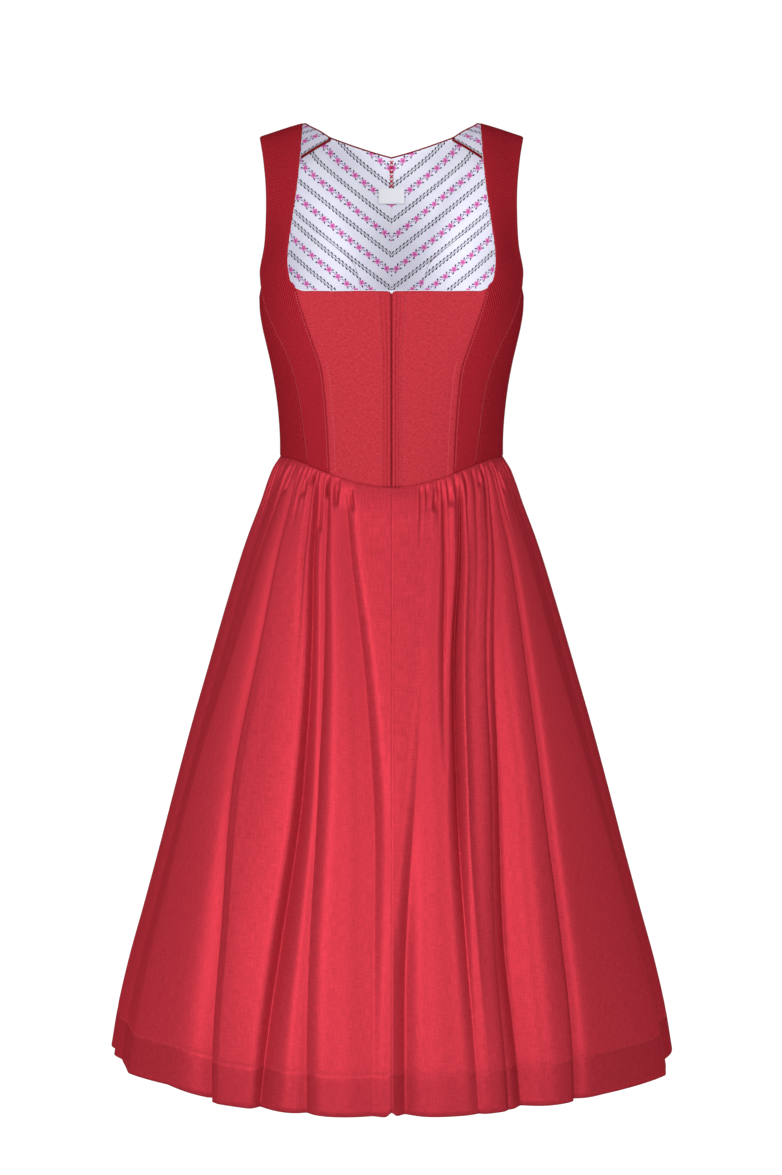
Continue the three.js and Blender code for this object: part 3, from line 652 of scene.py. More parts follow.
# Linen: matt plain weave of uneven yarn, piece dyed. Thicker yarns (slubs) lie across it,
# and the shoulder straps, cut on the slant, show a fine diagonal rib.
def linen(name, rib_depth, dark, light):
    m = new_material(name)
    chart = add_node(m, "ShaderNodeUVMap", uv_map="cloth")
    mm = add_node(m, "ShaderNodeVectorMath", {0: chart, 1: (1000, 1000, 1000)}, operation="MULTIPLY")
    # Slubs are about 5 mm long and 0.7 mm thick, a little coarser than true.
    stretched = add_node(m, "ShaderNodeMapping", {"Vector": mm, "Scale": (0.2, 1.4, 1)})
    slubs = add_node(m, "ShaderNodeTexNoise", {"Vector": stretched, "Scale": 1, "Detail": 3})
    upright = add_node(m, "ShaderNodeMapping", {"Vector": mm, "Scale": (1.3, 0.3, 1)})
    warp = add_node(m, "ShaderNodeTexNoise", {"Vector": upright, "Scale": 1, "Detail": 2})
    # The rib runs as a mirror image on the two sides of the dress and fades out down the
    # strap. It is coarser than true, so that it shows at all.
    chart_place = add_node(m, "ShaderNodeSeparateXYZ", {0: mm})
    aside = add_node(m, "ShaderNodeMath", {0: chart_place.outputs["X"]}, operation="ABSOLUTE")
    one_sided = add_node(m, "ShaderNodeCombineXYZ", {"X": aside, "Y": chart_place.outputs["Y"]})
    turned = add_node(m, "ShaderNodeMapping", {
        "Vector": one_sided, "Rotation": (0, 0, math.radians(RIB_TURN)),
    })
    rib = add_node(m, "ShaderNodeTexWave", {
        "Vector": turned, "Scale": 1 / RIB_PITCH / WAVE_BANDS_PER_UNIT, "Distortion": 0.6, "Detail": 1,
    }, wave_type="BANDS", bands_direction="X")
    rib_share = add_node(m, "ShaderNodeMapRange", {
        "Value": chart_place.outputs["Y"], "From Min": RIB_STARTS, "From Max": RIB_FULL,
        "To Max": rib_depth,
    })
    rib_wave = add_node(m, "ShaderNodeMath", {0: rib.outputs["Fac"], 1: -0.5}, operation="ADD")
    yarn = add_node(m, "ShaderNodeMath", {0: slubs.outputs[0], 1: warp.outputs[0]}, operation="ADD")
    ribbed = add_node(m, "ShaderNodeMath", {0: rib_wave, 1: rib_share, 2: yarn}, operation="MULTIPLY_ADD")
    tone = add_node(m, "ShaderNodeMapRange", {
        "Value": ribbed, "From Min": 0.7 - rib_depth / 4, "From Max": 1.3 + rib_depth / 4,
    })
    colour = add_node(m, "ShaderNodeMix", {
        0: tone, 6: linear(dark), 7: linear(light),
    }, data_type="RGBA").outputs[2]
    bump = add_node(m, "ShaderNodeBump", {"Height": ribbed, "Strength": 0.6,
                                          "Distance": 0.6 * MM})
    return finish_material(m, add_node(m, "ShaderNodeBsdfPrincipled", {
        "Base Color": colour, "Roughness": 0.6, "Normal": bump, "Specular IOR Level": 0.0,
    }))


# The centre front panels and the plackets take the plain linen. The side front panels with their straps
# take a darker ribbed copy, and the side, side back and centre back panels a darker plain copy. Both
# darker copies are painted shade for faces turned from the light; in truth it is all the same linen, and
# the centre back shares the darker tone so the back reads as one.
front_linen = linen("slubbed_linen_cloth", 0.0, "#98262F", "#C53A45")
painted_shade_linen = linen("side_and_back_linen_painted_shade", 0.0, "#76161F", "#A2212C")
strap_linen = linen("ribbed_strap_linen_painted_shade", 1.4, "#701620", "#B42632")
bodice_linens = {
    "side_front": strap_linen, "side": painted_shade_linen, "side_back": painted_shade_linen, "centre_back": painted_shade_linen,
}
for name, panel in PANELS.items():
    face = panel_grid(panel, BODICE_CELL)
    out = face_directions(face)
    across = row_lengths(face, 1)
    up = row_lengths(face, 0)
    distances = [across, across[:, -1:] - across, up, up[-1:] - up]
    furrow = sum(np.exp(-(distance / SEAM_FURROW_WIDTH) ** 2) for distance in distances)
    inset = SEAM_FURROW_DEPTH * np.minimum(furrow, FURROW_LIMIT)
    v = np.linspace(0, 1, len(face))[:, None]
    if name == "centre_front":
        turn_in = np.exp(-(distances[0] / CLOSURE_ROUND) ** 2)
        inset += (CLOSURE_TURN_IN - SEAM_FURROW_DEPTH) * turn_in
        in_channel = smoothstep(CHANNEL_WIDTH + CHANNEL_EDGE, CHANNEL_WIDTH - CHANNEL_EDGE, distances[1])
        inset -= CHANNEL_RISE * in_channel * smoothstep(CHANNEL_TOP, CHANNEL_TOP - CHANNEL_END, v)
    grid = face - out * inset[..., None]
    if name == "centre_front":
        # At the top of the closure the two edges part in a small V.
        notch = NOTCH_DEPTH * np.exp(-(across / NOTCH_HALF_WIDTH) ** 2)
        grid[..., 2] -= notch * smoothstep(NOTCH_FROM, 1, v)
    chart = square_chart(face)
    cloth = bodice_linens.get(name, front_linen)
    for side, points, marks in (("l", grid, chart), ("r", mirrored(grid), chart[:, ::-1] * (-1, 1))):
        node = f"{name}_{side}"
        piece = cloth_object(f"{node}_linen", points, marks, BODICE_THICKNESS, cloth)
        dressed(piece, node)


# ---------------------------------------------------------------- plackets
# A strip of the bodice cloth beside each edge of the closure: a rolled edge next to the
# slit, a pressed band beside it and a stitched outer edge. The fastening is underneath.
PLACKET_SLIT_HALF = 0.8
# columns: distance from the slit, height over the bodice
PLACKET_SECTION = [
    (0, -1.2), (0.2, 0.7), (0.8, 1.7), (2.0, 1.9), (2.9, 1.6), (3.3, 0.15), (4.4, 0.15), (4.8, 1.1),
    (5.8, 1.3), (6.6, 1.0), (7.0, 0.1), (8.2, 0.1), (8.6, 0.9), (9.6, 1.1), (10.4, 0.8), (10.9, 0.0),
    (11.2, -0.8),
]
PLACKET_ROWS = 90
PLACKET_END = 0.004
PLACKET_THICKNESS = 0.5

front = PANELS["centre_front"]
distance, height = (np.array(column) for column in zip(*PLACKET_SECTION))
v = np.linspace(PLACKET_END, 1 - PLACKET_END, PLACKET_ROWS)[:, None]
row_width = np.linalg.norm(panel_point(front, 1, v) - panel_point(front, 0, v), axis=-1)
face = panel_point(front, (distance + PLACKET_SLIT_HALF) / row_width, v)
strip = face + face_directions(face) * height[:, None]
notch = NOTCH_DEPTH * np.exp(-(distance / NOTCH_HALF_WIDTH) ** 2)
strip[..., 2] -= notch * smoothstep(NOTCH_FROM, 1, v)
for side, points in (("l", strip), ("r", mirrored(strip))):
    node = f"placket_{side}"
    chart = square_chart(points)
    piece = cloth_object(f"{node}_linen", points, chart, PLACKET_THICKNESS, front_linen)
    dressed(piece, node)


# ---------------------------------------------------------------- piping
# Narrow cord covered in dark red bias cloth. One lies in each shoulder seam on the lining
# side, and a thinner one caps the edge of the back neckline from strap to strap.
NECK_PIPING_RADIUS = 0.9
SHOULDER_PIPING_RADIUS = 1.5
WALL_MIDDLE = 1.2
LINING_FACE = LINING_DEPTH + LINING_THICKNESS
SHOULDER_LEAN = np.array((0.24, 0.75, 0.62))
SHOULDER_LEAN /= np.linalg.norm(SHOULDER_LEAN)
# Where the strap's crest and the neckline's ends lie on their panels, as shares.
CREST_SHARE = 16 / 19
NECK_SHARE = 0.5
SHOULDER_SHARES = (0.02, 0.485)
CORD_SUNK = 0.7


# Bias-covered cord: smooth tight cloth, dyed dark red, with a dull gloss along its round.
def bias_binding():
    m = new_material("dark_red_bias_binding")
    place = add_node(m, "ShaderNodeTexCoord").outputs["Object"]
    # Threads 0.8 mm apart, coarser than true.
    threads = add_node(m, "ShaderNodeTexNoise", {"Vector": place, "Scale": 1 / (0.8 * MM), "Detail": 2})
    colour = add_node(m, "ShaderNodeMix", {
        0: threads.outputs[0], 6: linear("#600B15"), 7: linear("#981422"),
    }, data_type="RGBA").outputs[2]
    bump = add_node(m, "ShaderNodeBump", {"Height": threads.outputs[0], "Strength": 0.3,
                                          "Distance": 0.2 * MM})
    return finish_material(m, add_node(m, "ShaderNodeBsdfPrincipled", {
        "Base Color": colour, "Roughness": 0.65, "Normal": bump, "Specular IOR Level": 0.1,
    }))


def cord_object(name, points, radius, material):
    """A round cord through points in mm, closed at its ends."""
    curve = bpy.data.curves.new(name, "CURVE")
    curve.dimensions = "3D"
    curve.bevel_depth = radius * MM
    curve.bevel_resolution = 2
    curve.use_fill_caps = True
    line = curve.splines.new("POLY")
    line.points.add(len(points) - 1)
    for knot, point in zip(line.points, points):
        knot.co = (*(np.array(point) * MM), 1)
    line.use_smooth = True
    curve.materials.append(material)
    piece = bpy.data.objects.new(name, curve)
    bpy.context.scene.collection.objects.link(piece)
    return piece


def edge_line(edge, inside, out, rise):
    """A line that lies beyond a cloth's edge, in the middle of its thickness."""
    away = edge - inside
    away /= np.linalg.norm(away, axis=-1, keepdims=True)
    return edge - out * WALL_MIDDLE + away * rise


binding = bias_binding()
strap, back = PANELS["side_front"], PANELS["centre_back"]
v = np.linspace(CREST_SHARE, 1, 40)[:, None]
near = panel_point(strap, np.array([[0.0, 0.1]]), v)
strap_line = edge_line(near[:, 0], near[:, 1], face_directions(near)[:, 0], NECK_PIPING_RADIUS)
u = np.linspace(NECK_SHARE, 1, 60)[None, :]
near = panel_point(back, u, np.array([[0.96], [1.0]]))
back_line = edge_line(near[1], near[0], face_directions(near)[1], NECK_PIPING_RADIUS)
half_line = np.vstack([strap_line[:-2], back_line[3:]])
half_line[-1, 0] = 0
neck_cord = cord_object("neck_piping_binding", np.vstack([half_line, (half_line * (-1, 1, 1))[-2::-1]]),
                        NECK_PIPING_RADIUS, binding)
dressed(neck_cord, "neck_piping")

u = np.linspace(*SHOULDER_SHARES, 50)
depth = LINING_FACE + SHOULDER_PIPING_RADIUS * CORD_SUNK
seam = panel_point(back, u, 1.0) - SHOULDER_LEAN * depth
# At the neck the cord bends up round the strap's corner.
curl = np.linspace(0, 1, 8)[1:, None]
seam = np.vstack([seam, seam[-1] + curl * (-1.6, -1.5, 1.2) * (2 - curl) + curl ** 2 * (1.5, -1.2, 1.6)])
for side, flip in (("l", (1, 1, 1)), ("r", (-1, 1, 1))):
    node = f"shoulder_piping_{side}"
    cord = cord_object(f"{node}_binding", seam * flip, SHOULDER_PIPING_RADIUS, binding)
    dressed(cord, node)


# ---------------------------------------------------------------- neck label
# A small woven white label, bare, sewn by its upper edge to the lining below the back
# neckline. Its lower edge stands a little off the lining.
LABEL_WIDTH = 32
LABEL_TOP_Z = -71
LABEL_BOTTOM_Z = -89
LABEL_THICKNESS = 0.35
# How far the lining's side of the label stands off at its top, and more at its lower edge.
LABEL_LIFT = 0.5
LABEL_LOWER_LIFT = 1.6
LABEL_RIPPLE = 0.25
LEVELLING_STEPS = 4


# Woven label: a dense white polyester satin with a faint rib; it looks smooth and cool.
def woven_label():
    m = new_material("white_woven_label")
    chart = add_node(m, "ShaderNodeUVMap", uv_map="cloth")
    # Ribs 0.9 mm apart.
    rib = add_node(m, "ShaderNodeTexWave", {"Vector": chart, "Scale": math.pi / (0.9 * MM) / 10},
                   wave_type="BANDS", bands_direction="Y")
    colour = add_node(m, "ShaderNodeMix", {
        0: rib.outputs["Fac"], 6: linear("#E2E5EA"), 7: linear("#EEF0F4"),
    }, data_type="RGBA").outputs[2]
    bump = add_node(m, "ShaderNodeBump", {"Height": rib.outputs["Fac"], "Strength": 0.3,
                                          "Distance": 0.1 * MM})
    return finish_material(m, add_node(m, "ShaderNodeBsdfPrincipled", {
        "Base Color": colour, "Roughness": 0.45, "Normal": bump,
    }))


def on_back(x, z, lift):
    """A point on the lining about the centre back seam, x and z in mm."""
    v_line = np.linspace(0, 1, 300)
    centre = panel_point(back, np.ones_like(v_line), v_line)
    v = np.interp(z, centre[:, 2], v_line)
    for _ in range(LEVELLING_STEPS):
        width = np.linalg.norm(panel_point(back, 0.9, v) - panel_point(back, 1.0, v), axis=-1) / 0.1
        point = panel_point(back, 1 - np.abs(x) / width, v)
        v = np.clip(v + (z - point[..., 2]) / (centre[-1, 2] - centre[0, 2]), 0, 1)
    up = panel_point(back, 1.0, v) - panel_point(back, 1.0, v - 0.01)
    out = np.cross(up, (1.0, 0, 0))
    out /= np.linalg.norm(out, axis=-1, keepdims=True)
    out *= np.sign(out[..., 1:2])
    point = point - out * (LINING_FACE + lift)[..., None]
    point[..., 0] *= np.where(x < 0, -1, 1)
    return point


x = np.linspace(-LABEL_WIDTH / 2, LABEL_WIDTH / 2, 33)[None, :]
z = np.linspace(LABEL_TOP_Z, LABEL_BOTTOM_Z, 19)[:, None]
drop = (LABEL_TOP_Z - z) / (LABEL_TOP_Z - LABEL_BOTTOM_Z)
folded_ends = LABEL_RIPPLE * np.exp(-((np.abs(x) - LABEL_WIDTH / 2) / 2.5) ** 2)
ripple = LABEL_RIPPLE * drop * np.cos(x * 0.35)
lift = LABEL_LIFT + LABEL_LOWER_LIFT * drop ** 2 + ripple + folded_ends
points = on_back(x + 0 * z, z + 0 * x, lift)
label = cloth_object("neck_label_woven", points, square_chart(points), LABEL_THICKNESS, woven_label())
dressed(label, "neck_label")


# ---------------------------------------------------------------- bodice sewing
# Thread in the bodice: cross stitches in red down the centre back lining, and small
# machine stitches along the boned channels, the plackets and the side front seams.
CROSS_TOP_Z = -38.5
CROSS_PITCH = 5.4
CROSS_COUNT = 6
CROSS_WIDTH = 5.6
CROSS_HEIGHT = 5.2
THREAD_RADIUS = 0.85
STITCH_LENGTH = 2.1
STITCH_PITCH = 3.0
STITCH_RADIUS = 0.36
# Machine stitches. columns: panel, beside its right seam, distance from the seam, where
# they start and end as shares of the panel's height, height over the cloth
SEAM_RUNS = [
    ("centre_front", True, CHANNEL_WIDTH, 0.02, CHANNEL_TOP, 0.2),
    ("centre_front", False, 11.6, 0.01, 0.99, 0.1),
    ("side_front", False, 1.8, 0.01, 0.41, -0.1),
    ("side_front", True, 1.8, 0.01, 0.41, -0.1),
    ("side_back", True, 1.8, 0.01, 0.98, -0.1),
]


# Polyester sewing thread: twisted and slightly shiny.
def thread(name, colour):
    m = new_material(name)
    place = add_node(m, "ShaderNodeTexCoord").outputs["Object"]
    twist = add_node(m, "ShaderNodeTexNoise", {"Vector": place, "Scale": 1 / (0.7 * MM), "Detail": 1})
    shade = add_node(m, "ShaderNodeHueSaturation", {"Color": linear(colour), "Value": 0.75})
    mixed = add_node(m, "ShaderNodeMix", {0: twist.outputs[0], 6: shade.outputs[0], 7: linear(colour)},
                     data_type="RGBA").outputs[2]
    return finish_material(m, add_node(m, "ShaderNodeBsdfPrincipled", {
        "Base Color": mixed, "Roughness": 0.5, "Specular IOR Level": 0.3,
    }))


def add_stitch(mesh, start, end, out, radius):
    """One stitch: a lens of thread from start to end, both in mm."""
    start, end, out = Vector(start), Vector(end), Vector(out)
    along = end - start
    across = along.cross(out).normalized()
    up = across.cross(along).normalized()
    turn = Matrix((along.normalized(), across, up)).transposed().to_4x4()
    size = Matrix.Diagonal((along.length / 2 * MM, radius * MM, radius * 0.8 * MM, 1))
    place = Matrix.Translation((start + end) / 2 * MM)
    bmesh.ops.create_icosphere(mesh, subdivisions=1, radius=1, matrix=place @ turn @ size)


def stitch_line(mesh, points, out):
    """Machine stitches along a line of points in mm."""
    way = row_lengths(points[:, None], 0)[:, 0]
    for begin in np.arange(STITCH_PITCH / 2, way[-1] - STITCH_LENGTH, STITCH_PITCH):
        ends = [[np.interp(at, way, points[:, k]) for k in range(3)]
                for at in (begin, begin + STITCH_LENGTH)]
        normal = [np.interp(begin, way, out[:, k]) for k in range(3)]
        add_stitch(mesh, *ends, normal, STITCH_RADIUS)


def stitches_object(name, mesh, material):
    made = bpy.data.meshes.new(name)
    mesh.to_mesh(made)
    mesh.free()
    made.shade_smooth()
    made.materials.append(material)
    piece = bpy.data.objects.new(name, made)
    bpy.context.scene.collection.objects.link(piece)
    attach(piece, "root")
    return piece


crosses = bmesh.new()
for n in range(CROSS_COUNT):
    top = CROSS_TOP_Z - CROSS_PITCH * n
    half = CROSS_WIDTH / 2
    corner_x = np.array([-half, half, half, -half])
    corner_z = np.array([top, top - CROSS_HEIGHT, top, top - CROSS_HEIGHT])
    knots = on_back(corner_x, corner_z, np.array([0.3, 0.3, 0.7, 0.7]))
    add_stitch(crosses, knots[0], knots[1], (0, -1, 0), THREAD_RADIUS)
    add_stitch(crosses, knots[2], knots[3], (0, -1, 0), THREAD_RADIUS)
stitches_object("centre_back_cross_stitches", crosses, thread("red_embroidery_thread", "#C4142A"))


def seam_run(mesh, panel, from_right, distance, low, high, lift):
    """Stitches beside a panel's left or right seam, on both sides of the dress."""
    v = np.linspace(low, high, 120)[:, None]
    width = np.linalg.norm(panel_point(panel, 1, v) - panel_point(panel, 0, v), axis=-1)
    u = 1 - distance / width if from_right else distance / width
    near = panel_point(panel, u + np.array([[-0.01, 0.0, 0.01]]), v)
    out = face_directions(near)[:, 1]
    line = near[:, 1] + out * lift
    for flip in ((1, 1, 1), (-1, 1, 1)):
        stitch_line(mesh, line * flip, out * flip)


bodice_stitches = bmesh.new()
for name, *run in SEAM_RUNS:
    seam_run(bodice_stitches, PANELS[name], *run)
machine_thread = thread("red_machine_thread", "#D2606A")
stitches_object("bodice_stitches", bodice_stitches, machine_thread)


# ---------------------------------------------------------------- skirt
# Three widths of red cotton satin, gathered into the waist seam except for a flat stretch
# at the centre front. The fullness falls in long folds to the hem, whose allowance is
# turned up inside and stitched.
SKIRT_THICKNESS = 0.7
SEAM_GAP = 0.3
HEM_Z = -1082
HEM_ALLOWANCE = 45
HEM_LAYER_DEPTH = 1.8
# At the centre front seam the hem is drawn up a little: how far, and over which angle.
HEM_NOTCH = 4.5
HEM_NOTCH_ANGLE = 0.7
# The seam allowance: its place as a share of the way down, and its inset.
SEAM_ALLOWANCE = (-0.005, 1.3)
SIDE_SEAM_ANGLE = 90.77
FLAT_HALF_ANGLE = 20
# Gathers: their mean distance in degrees, and the ranges of their depth, of their length
# as a share of the skirt's, and of their reach to each side in degrees.
GATHER_PITCH = 3.077
GATHER_SHIFT = 0.55
GATHER_DEPTHS = (2.2, 5.4)
GATHER_SHORTEST, GATHER_LONGER = 0.035, 0.16
GATHER_REACHES = (0.5, 1.05)

# The plain form. columns: share of the way down, half width, front, back
SKIRT_FORM = np.array([
    (0, 129.5, 97, 92), (0.017, 137.6, 101.5, 98), (0.037, 143.6, 106, 103.5),
    (0.072, 151.8, 113, 113), (0.138, 169, 127, 130), (0.24, 191.6, 149, 154),
    (0.341, 212.5, 171, 177), (0.443, 233.5, 193, 199), (0.547, 253.5, 214, 220),
    (0.649, 272.4, 234, 240), (0.754, 292.5, 255, 260), (0.858, 312.8, 275, 280),
    (0.93, 324.5, 288, 292), (1, 333, 299, 302),
])
# columns: angle from the centre front, how far the hem hangs higher there
HEM_RISE = np.array([
    (-180, 0), (-95, 1), (-70, 8), (-48, 10), (-39, 2), (0, 0), (45, 2), (72, -2), (95, 0), (180, 0),
])
# Fold lines, from the wearer's right round the front to the left, then the back.
# Hollows are positive and ridges negative. Five stations run from the waist to the hem.
# columns: five angles, five depths, reach to the right, reach to the left, in degrees
FOLD_STATIONS = np.array([0, 0.25, 0.5, 0.75, 1])
FOLDS = [
    ((-84, -84, -84, -83, -81), (1, 1, 3, 6, 9), 3.0, 2.0),
    ((-70, -71, -73, -73, -72), (2, 4, 5, 5, 5), 6.0, 5.0),
    ((-55, -57, -61, -61.3, -60.2), (0, -5, -9, -11, -11), 4.5, 13.0),
    ((-52.2, -48, -46.8, -41.5, -37.5), (3, 4, 5, 8, 13), 4.0, 0.6),
    ((-48, -44, -43, -38, -34.5), (0, 0, -2, -5, -4), 1.6, 9.0),
    ((-39.2, -28.7, -25.2, -26.1, -26.5), (6, 11, 18, 17, 12), 0.6, 4.6),
    ((-31.8, -23.7, -20.2, -18.5, -16.5), (3, 5, 4, 4, 7), 1.8, 1.8),
    ((-23.2, -10.6, -5.0, -4.0, -3.6), (5, 8, 11, 10, 8), 5.0, 2.6),
    ((22.5, 11.6, 6.4, 3.2, 2.6), (1, 1, 5, 14, 16), 2.0, 3.0),
    ((26, 18, 14, 12.6, 12), (5, 6, 0, 0, 0), 1.4, 1.4),
    ((36, 22.7, 18, 16.8, 16.8), (7, 14, 13, 7, 4), 1.5, 0.7),
    ((38, 25, 20, 18.9, 19), (0, -3, -4, -2, 0), 0.9, 1.1),
    ((50.8, 33.9, 27.6, 23.6, 23), (4, 3, 2, 1, 3), 0.5, 0.8),
    ((54, 37.5, 31, 27, 26.4), (1, 5, 15, 20, 16), 2.6, 3.8),
    ((58, 49.5, 44.1, 41.3, 38.2), (4, 5, 6, 7, 8), 0.8, 1.8),
    ((66, 62, 62.7, 65.9, 65.8), (0, -5, -9, -11, -11), 13.0, 4.5),
    ((78, 76, 76, 77, 78), (2, 4, 5, 6, 7), 4.5, 4.0),
    ((96, 95.5, 95, 94.5, 94), (2, 3, 5, 6, 8), 2.2, 4.5),
    ((109, 111.2, 113, 114.2, 115), (4, 5, 8, 8, 9), 3.6, 1.2),
    ((121, 122.6, 124, 125.1, 126), (3, 3, 3, 2, 3), 1.6, 3.0),
    ((131, 135.5, 139, 141.5, 143), (5, 6, 11, 9, 8), 3.8, 0.9),
    ((151, 151.5, 152, 154.4, 158), (3, 4, 4, 6, 8), 1.4, 4.4),
    ((166, 167.8, 169, 169.8, 170), (4, 6, 9, 8, 6), 3.4, 1.2),
    ((183, 183.5, 184, 184.5, 185), (2, 3, 4, 6, 8), 3.4, 1.4),
    ((194, 198.6, 202, 204.1, 205), (5, 6, 10, 9, 9), 1.0, 4.2),
    ((209, 211.9, 214, 215.4, 216), (3, 3, 4, 3, 2), 3.0, 1.4),
    ((221, 224.1, 227, 229.6, 232), (5, 6, 9, 10, 9), 0.9, 4.0),
    ((240, 241.4, 243, 244.9, 247), (3, 4, 6, 6, 8), 4.0, 1.2),
    ((256, 257.5, 259, 260.5, 262), (4, 5, 7, 7, 8), 2.0, 4.4),
]
FOLD_CUSP = 1.35
# How far the cloth stands out between two folds, as a share of their distance.
ROLL_SHARE = 0.045
# Distance of the columns in degrees, on the front widths and on the back one.
SATIN_CELL = 0.46
BACK_SATIN_CELL = 0.62
# Deep puckers under the waist seam. columns: angle, share of the way down where it ends
PUCKERS = [
    (-56.9, 0.05), (-45.8, 0.045), (-42, 0.022), (-36.3, 0.09), (-33.3, 0.034), (-28.5, 0.042),
    (-20.4, 0.042), (22, 0.045), (30, 0.043), (48, 0.03), (63, 0.05),
]
PUCKER_DEPTH = 5.0
PUCKER_REACH = 0.95


def smooth_at(stations, values, s):
    """A smooth line through values at uneven stations."""
    slopes = np.gradient(values, stations)
    i = np.clip(np.searchsorted(stations, s, side="right") - 1, 0, len(stations) - 2)
    width = stations[i + 1] - stations[i]
    t = (s - stations[i]) / width
    return (
        (1 + 2 * t) * (1 - t) ** 2 * values[i] + t * (1 - t) ** 2 * width * slopes[i]
        + t ** 2 * (3 - 2 * t) * values[i + 1] - t ** 2 * (1 - t) * width * slopes[i + 1]
    )


def fold_angles(fold, s):
    return smooth_at(FOLD_STATIONS, np.array(fold[0], float), s)


def fold_depths(fold, s):
    return np.interp(s, FOLD_STATIONS, fold[1]) * smoothstep(0, 0.05, s)


def width_columns(first, last, s):
    """Angles of a width's columns at every row. They run along the fold lines."""
    inside = [fold for fold in FOLDS if first < fold[0][0] < last]
    lines = [np.full_like(s, first)] + [fold_angles(fold, s) for fold in inside]
    lines.append(np.full_like(s, last))
    columns = []
    cell = BACK_SATIN_CELL if last > 180 else SATIN_CELL
    for left, right in zip(lines, lines[1:]):
        count = max(4, math.ceil((right - left).max() / cell))
        share = eased(count, 0.5)[:-1]
        columns.append(left[:, None] * (1 - share) + right[:, None] * share)
    columns.append(lines[-1][:, None])
    return np.hstack(columns), inside


def fold_hollows(angle, s):
    hollow = np.zeros_like(angle)
    for fold in FOLDS:
        for turn in (-360, 0, 360):
            away = angle - fold_angles(fold, s) - turn
            reach = np.where(away < 0, fold[2], fold[3])
            shape = np.exp(-np.abs(away / reach) ** FOLD_CUSP)
            hollow += fold_depths(fold, s) * shape
    return hollow


def gather_hollows(angle, s, first, last):
    """Small uneven gathers under the waist seam, each with its own depth and length."""
    chance = np.random.default_rng(11)
    hollow = np.zeros_like(angle)
    count = int((360 - 2 * FLAT_HALF_ANGLE) / GATHER_PITCH) + 1
    for n in range(count):
        start = FLAT_HALF_ANGLE - 4 + GATHER_PITCH * (n + GATHER_SHIFT * chance.uniform(-1, 1))
        depth = chance.uniform(*GATHER_DEPTHS)
        length = GATHER_SHORTEST + GATHER_LONGER * chance.uniform(0, 1) ** 2
        reach = chance.uniform(*GATHER_REACHES)
        placed = start if start < 180 or first > 0 else start - 360
        if not first - 4 < placed < last + 4:
            continue
        column = np.abs(angle[0] - placed).argmin()
        centre = angle[:, column:column + 1] + placed - angle[0, column]
        fade = np.exp(-((s / length) ** 2)) * smoothstep(-0.004, 0.018, s)
        shape = np.exp(-np.abs((angle - centre) / reach) ** FOLD_CUSP)
        hollow += depth * fade * shape
    for placed, end in PUCKERS:
        column = np.abs(angle[0] - placed).argmin()
        centre = angle[:, column:column + 1] + placed - angle[0, column]
        fade = smoothstep(end + 0.004, end - 0.004, s) * smoothstep(0, end, s)
        hollow += PUCKER_DEPTH * fade * np.exp(-((angle - centre) / PUCKER_REACH) ** 2)
    return hollow


def roll_rise(angle, s, inside, first, last):
    """Between two folds the cloth stands out in a soft roll."""
    rise = np.zeros_like(angle)
    for fold, after in zip(inside, inside[1:]):
        left, right = fold_angles(fold, s), fold_angles(after, s)
        share = np.clip((angle - left) / np.maximum(right - left, 0.5), 0, 1)
        held = np.minimum(fold_depths(fold, s), fold_depths(after, s)).clip(0, 8) / 8
        radius = smooth_at(SKIRT_FORM[:, 0], SKIRT_FORM[:, 1], s)
        gap = np.radians(right - left) * radius
        rise += ROLL_SHARE * held * gap * 4 * share * (1 - share)
    return rise


def skirt_point(angle, s, inset):
    """A point of the skirt, inset straight in from its plain form."""
    turn = np.radians(angle)
    half_width = smooth_at(SKIRT_FORM[:, 0], SKIRT_FORM[:, 1], s)
    front = smooth_at(SKIRT_FORM[:, 0], SKIRT_FORM[:, 2], s)
    back = smooth_at(SKIRT_FORM[:, 0], SKIRT_FORM[:, 3], s)
    half_depth = np.where(np.cos(turn) > 0, front, back)
    out = np.stack([np.sin(turn) / half_width, -np.cos(turn) / half_depth], axis=-1)
    out /= np.linalg.norm(out, axis=-1, keepdims=True)
    signed = (angle + 180) % 360 - 180
    hem = HEM_Z + np.interp(signed, HEM_RISE[:, 0], HEM_RISE[:, 1])
    hem += HEM_NOTCH * np.exp(-(signed / HEM_NOTCH_ANGLE) ** 2)
    top = waist_point(angle)[..., 2] - SEAM_GAP / 2
    x = half_width * np.sin(turn) - inset * out[..., 0]
    y = -half_depth * np.cos(turn) - inset * out[..., 1]
    return np.stack([x, y, top + (hem - top) * s], axis=-1)


HEM_START = 1 - HEM_ALLOWANCE / (WAIST_SIDE_Z - HEM_Z)
# Rows lie close at the waist, at the hem stitches and at the hem's fold. The first one is
# the seam allowance, tucked up under the bodice's edge.
GATHERS_END = 0.12
HEM_NEARS = 0.925
BELOW_STITCHES = HEM_START + 0.006
SKIRT_ROWS = np.concatenate([
    [SEAM_ALLOWANCE[0]], np.linspace(0, GATHERS_END, 40)[:-1],
    np.linspace(GATHERS_END, HEM_NEARS, 74)[:-1], np.linspace(HEM_NEARS, BELOW_STITCHES, 7)[:-1],
    np.linspace(BELOW_STITCHES, 1, 8),
])
TURN_UP_ROWS = np.linspace(1, HEM_START, 5)
HEM_STITCH_FURROW = 0.3
HEM_STITCH_WIDTH = 0.003
HEM_SHADE = 0.84
# A seam between two widths draws the cloth in, from a little below the waist down.
SEAM_HALF_WIDTH = 1.2
SEAM_PULL = 0.5
SEAM_PULL_FROM = 0.02


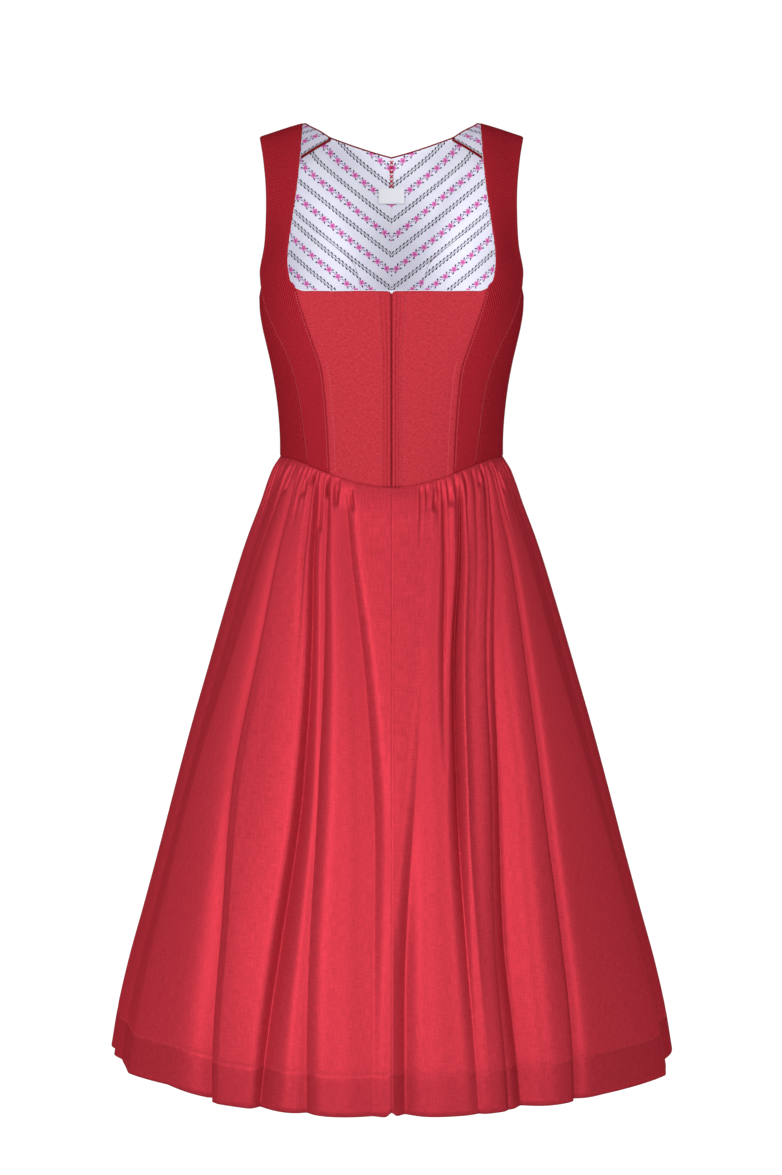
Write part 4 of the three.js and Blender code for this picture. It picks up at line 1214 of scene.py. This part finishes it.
# Cotton satin: smooth, dense, dyed red. The eye sees a soft sheen along the folds and
# only a trace of grain.
def satin():
    m = new_material("red_cotton_satin")
    chart = add_node(m, "ShaderNodeUVMap", uv_map="cloth")
    mm = add_node(m, "ShaderNodeVectorMath", {0: chart, 1: (1000, 1000, 1000)}, operation="MULTIPLY")
    # The grain runs down the skirt: 0.7 mm across and about 14 mm long, coarser than true.
    upright = add_node(m, "ShaderNodeMapping", {"Vector": mm, "Scale": (1.4, 0.07, 1)})
    grain = add_node(m, "ShaderNodeTexNoise", {"Vector": upright, "Scale": 1, "Detail": 3})
    level = add_node(m, "ShaderNodeMapping", {"Vector": mm, "Scale": (0.1, 1.2, 1)})
    picks = add_node(m, "ShaderNodeTexNoise", {"Vector": level, "Scale": 1, "Detail": 3})
    weave = add_node(m, "ShaderNodeMath", {0: grain.outputs[0], 1: picks.outputs[0]}, operation="ADD")
    tone = add_node(m, "ShaderNodeMapRange", {"Value": weave, "From Min": 0.7, "From Max": 1.3})
    colour = add_node(m, "ShaderNodeMix", {
        0: tone, 6: linear("#9E2934"), 7: linear("#BC3441"),
    }, data_type="RGBA").outputs[2]
    # Where the hem is doubled no light comes through the cloth, so it looks darker.
    down = add_node(m, "ShaderNodeSeparateXYZ", {0: mm}).outputs["Y"]
    doubled = add_node(m, "ShaderNodeMapRange", {
        "Value": down, "From Min": 2 * HEM_ALLOWANCE - 1, "From Max": 2 * HEM_ALLOWANCE + 1,
        "To Min": HEM_SHADE, "To Max": 1,
    })
    colour = add_node(m, "ShaderNodeHueSaturation", {"Color": colour, "Value": doubled})
    bump = add_node(m, "ShaderNodeBump", {"Height": weave, "Strength": 0.12, "Distance": 0.2 * MM})
    return finish_material(m, add_node(m, "ShaderNodeBsdfPrincipled", {
        "Base Color": colour, "Roughness": 0.42, "Normal": bump, "Metallic": 0.28,
        "Specular IOR Level": 0.0, "Specular Tint": linear("#B83040"),
    }))


red_satin = satin()
# The cut of a width: a wide hem edge and a narrower edge that is gathered to the waist.
# columns: node, first angle, last angle, cut width at the hem, at the waist, cut length
SKIRT_WIDTHS = [
    ("skirt_front_r", -SIDE_SEAM_ANGLE, 0.0, 0.64, 0.42, 0.745),
    ("skirt_front_l", 0.0, SIDE_SEAM_ANGLE, 0.64, 0.42, 0.745),
    ("skirt_back", SIDE_SEAM_ANGLE, 360 - SIDE_SEAM_ANGLE, 1.28, 0.84, 0.745),
]
hem_stitches = bmesh.new()
for node, first, last, hem_cut, waist_cut, length_cut in SKIRT_WIDTHS:
    s = SKIRT_ROWS[:, None]
    angle, inside = width_columns(first, last, SKIRT_ROWS)
    inset = fold_hollows(angle, s) + gather_hollows(angle, s, first, last)
    inset -= roll_rise(angle, s, inside, first, last)
    radius = smooth_at(SKIRT_FORM[:, 0], SKIRT_FORM[:, 1], s)
    for seam in (first, last):
        away = np.radians(np.abs(angle - seam)) * radius
        pull = SEAM_PULL * np.exp(-(away / SEAM_HALF_WIDTH) ** 2)
        inset += pull * smoothstep(0, SEAM_PULL_FROM, s)
    inset += HEM_STITCH_FURROW * np.exp(-((s - HEM_START) / HEM_STITCH_WIDTH) ** 2)
    inset += SEAM_ALLOWANCE[1] * (s < 0)
    outer = skirt_point(angle, s, inset)
    turned = np.array([np.interp(TURN_UP_ROWS, SKIRT_ROWS, column) for column in inset.T]).T
    turned_angle = np.array([np.interp(TURN_UP_ROWS, SKIRT_ROWS, column) for column in angle.T]).T
    inner = skirt_point(turned_angle, TURN_UP_ROWS[:, None], turned + HEM_LAYER_DEPTH)
    points = np.vstack([outer, inner])[::-1]
    across = row_lengths(outer, 1)[-1][None, :] + np.zeros((len(points), 1))
    down = row_lengths(points, 0)[:, :1] + np.zeros_like(across)
    chart = np.stack([across, down], axis=-1)
    piece = cloth_object(f"{node}_satin", points, chart, SKIRT_THICKNESS, red_satin)
    dressed(piece, node)
    hem_row = np.argmin(np.abs(SKIRT_ROWS - HEM_START))
    stitch_line(hem_stitches, outer[hem_row], face_directions(outer[::-1])[::-1][hem_row])
stitches_object("hem_stitches", hem_stitches, thread("red_hem_thread", "#C23642"))


# ---------------------------------------------------------------- bounds of what is shown, the studio left out
low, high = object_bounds()
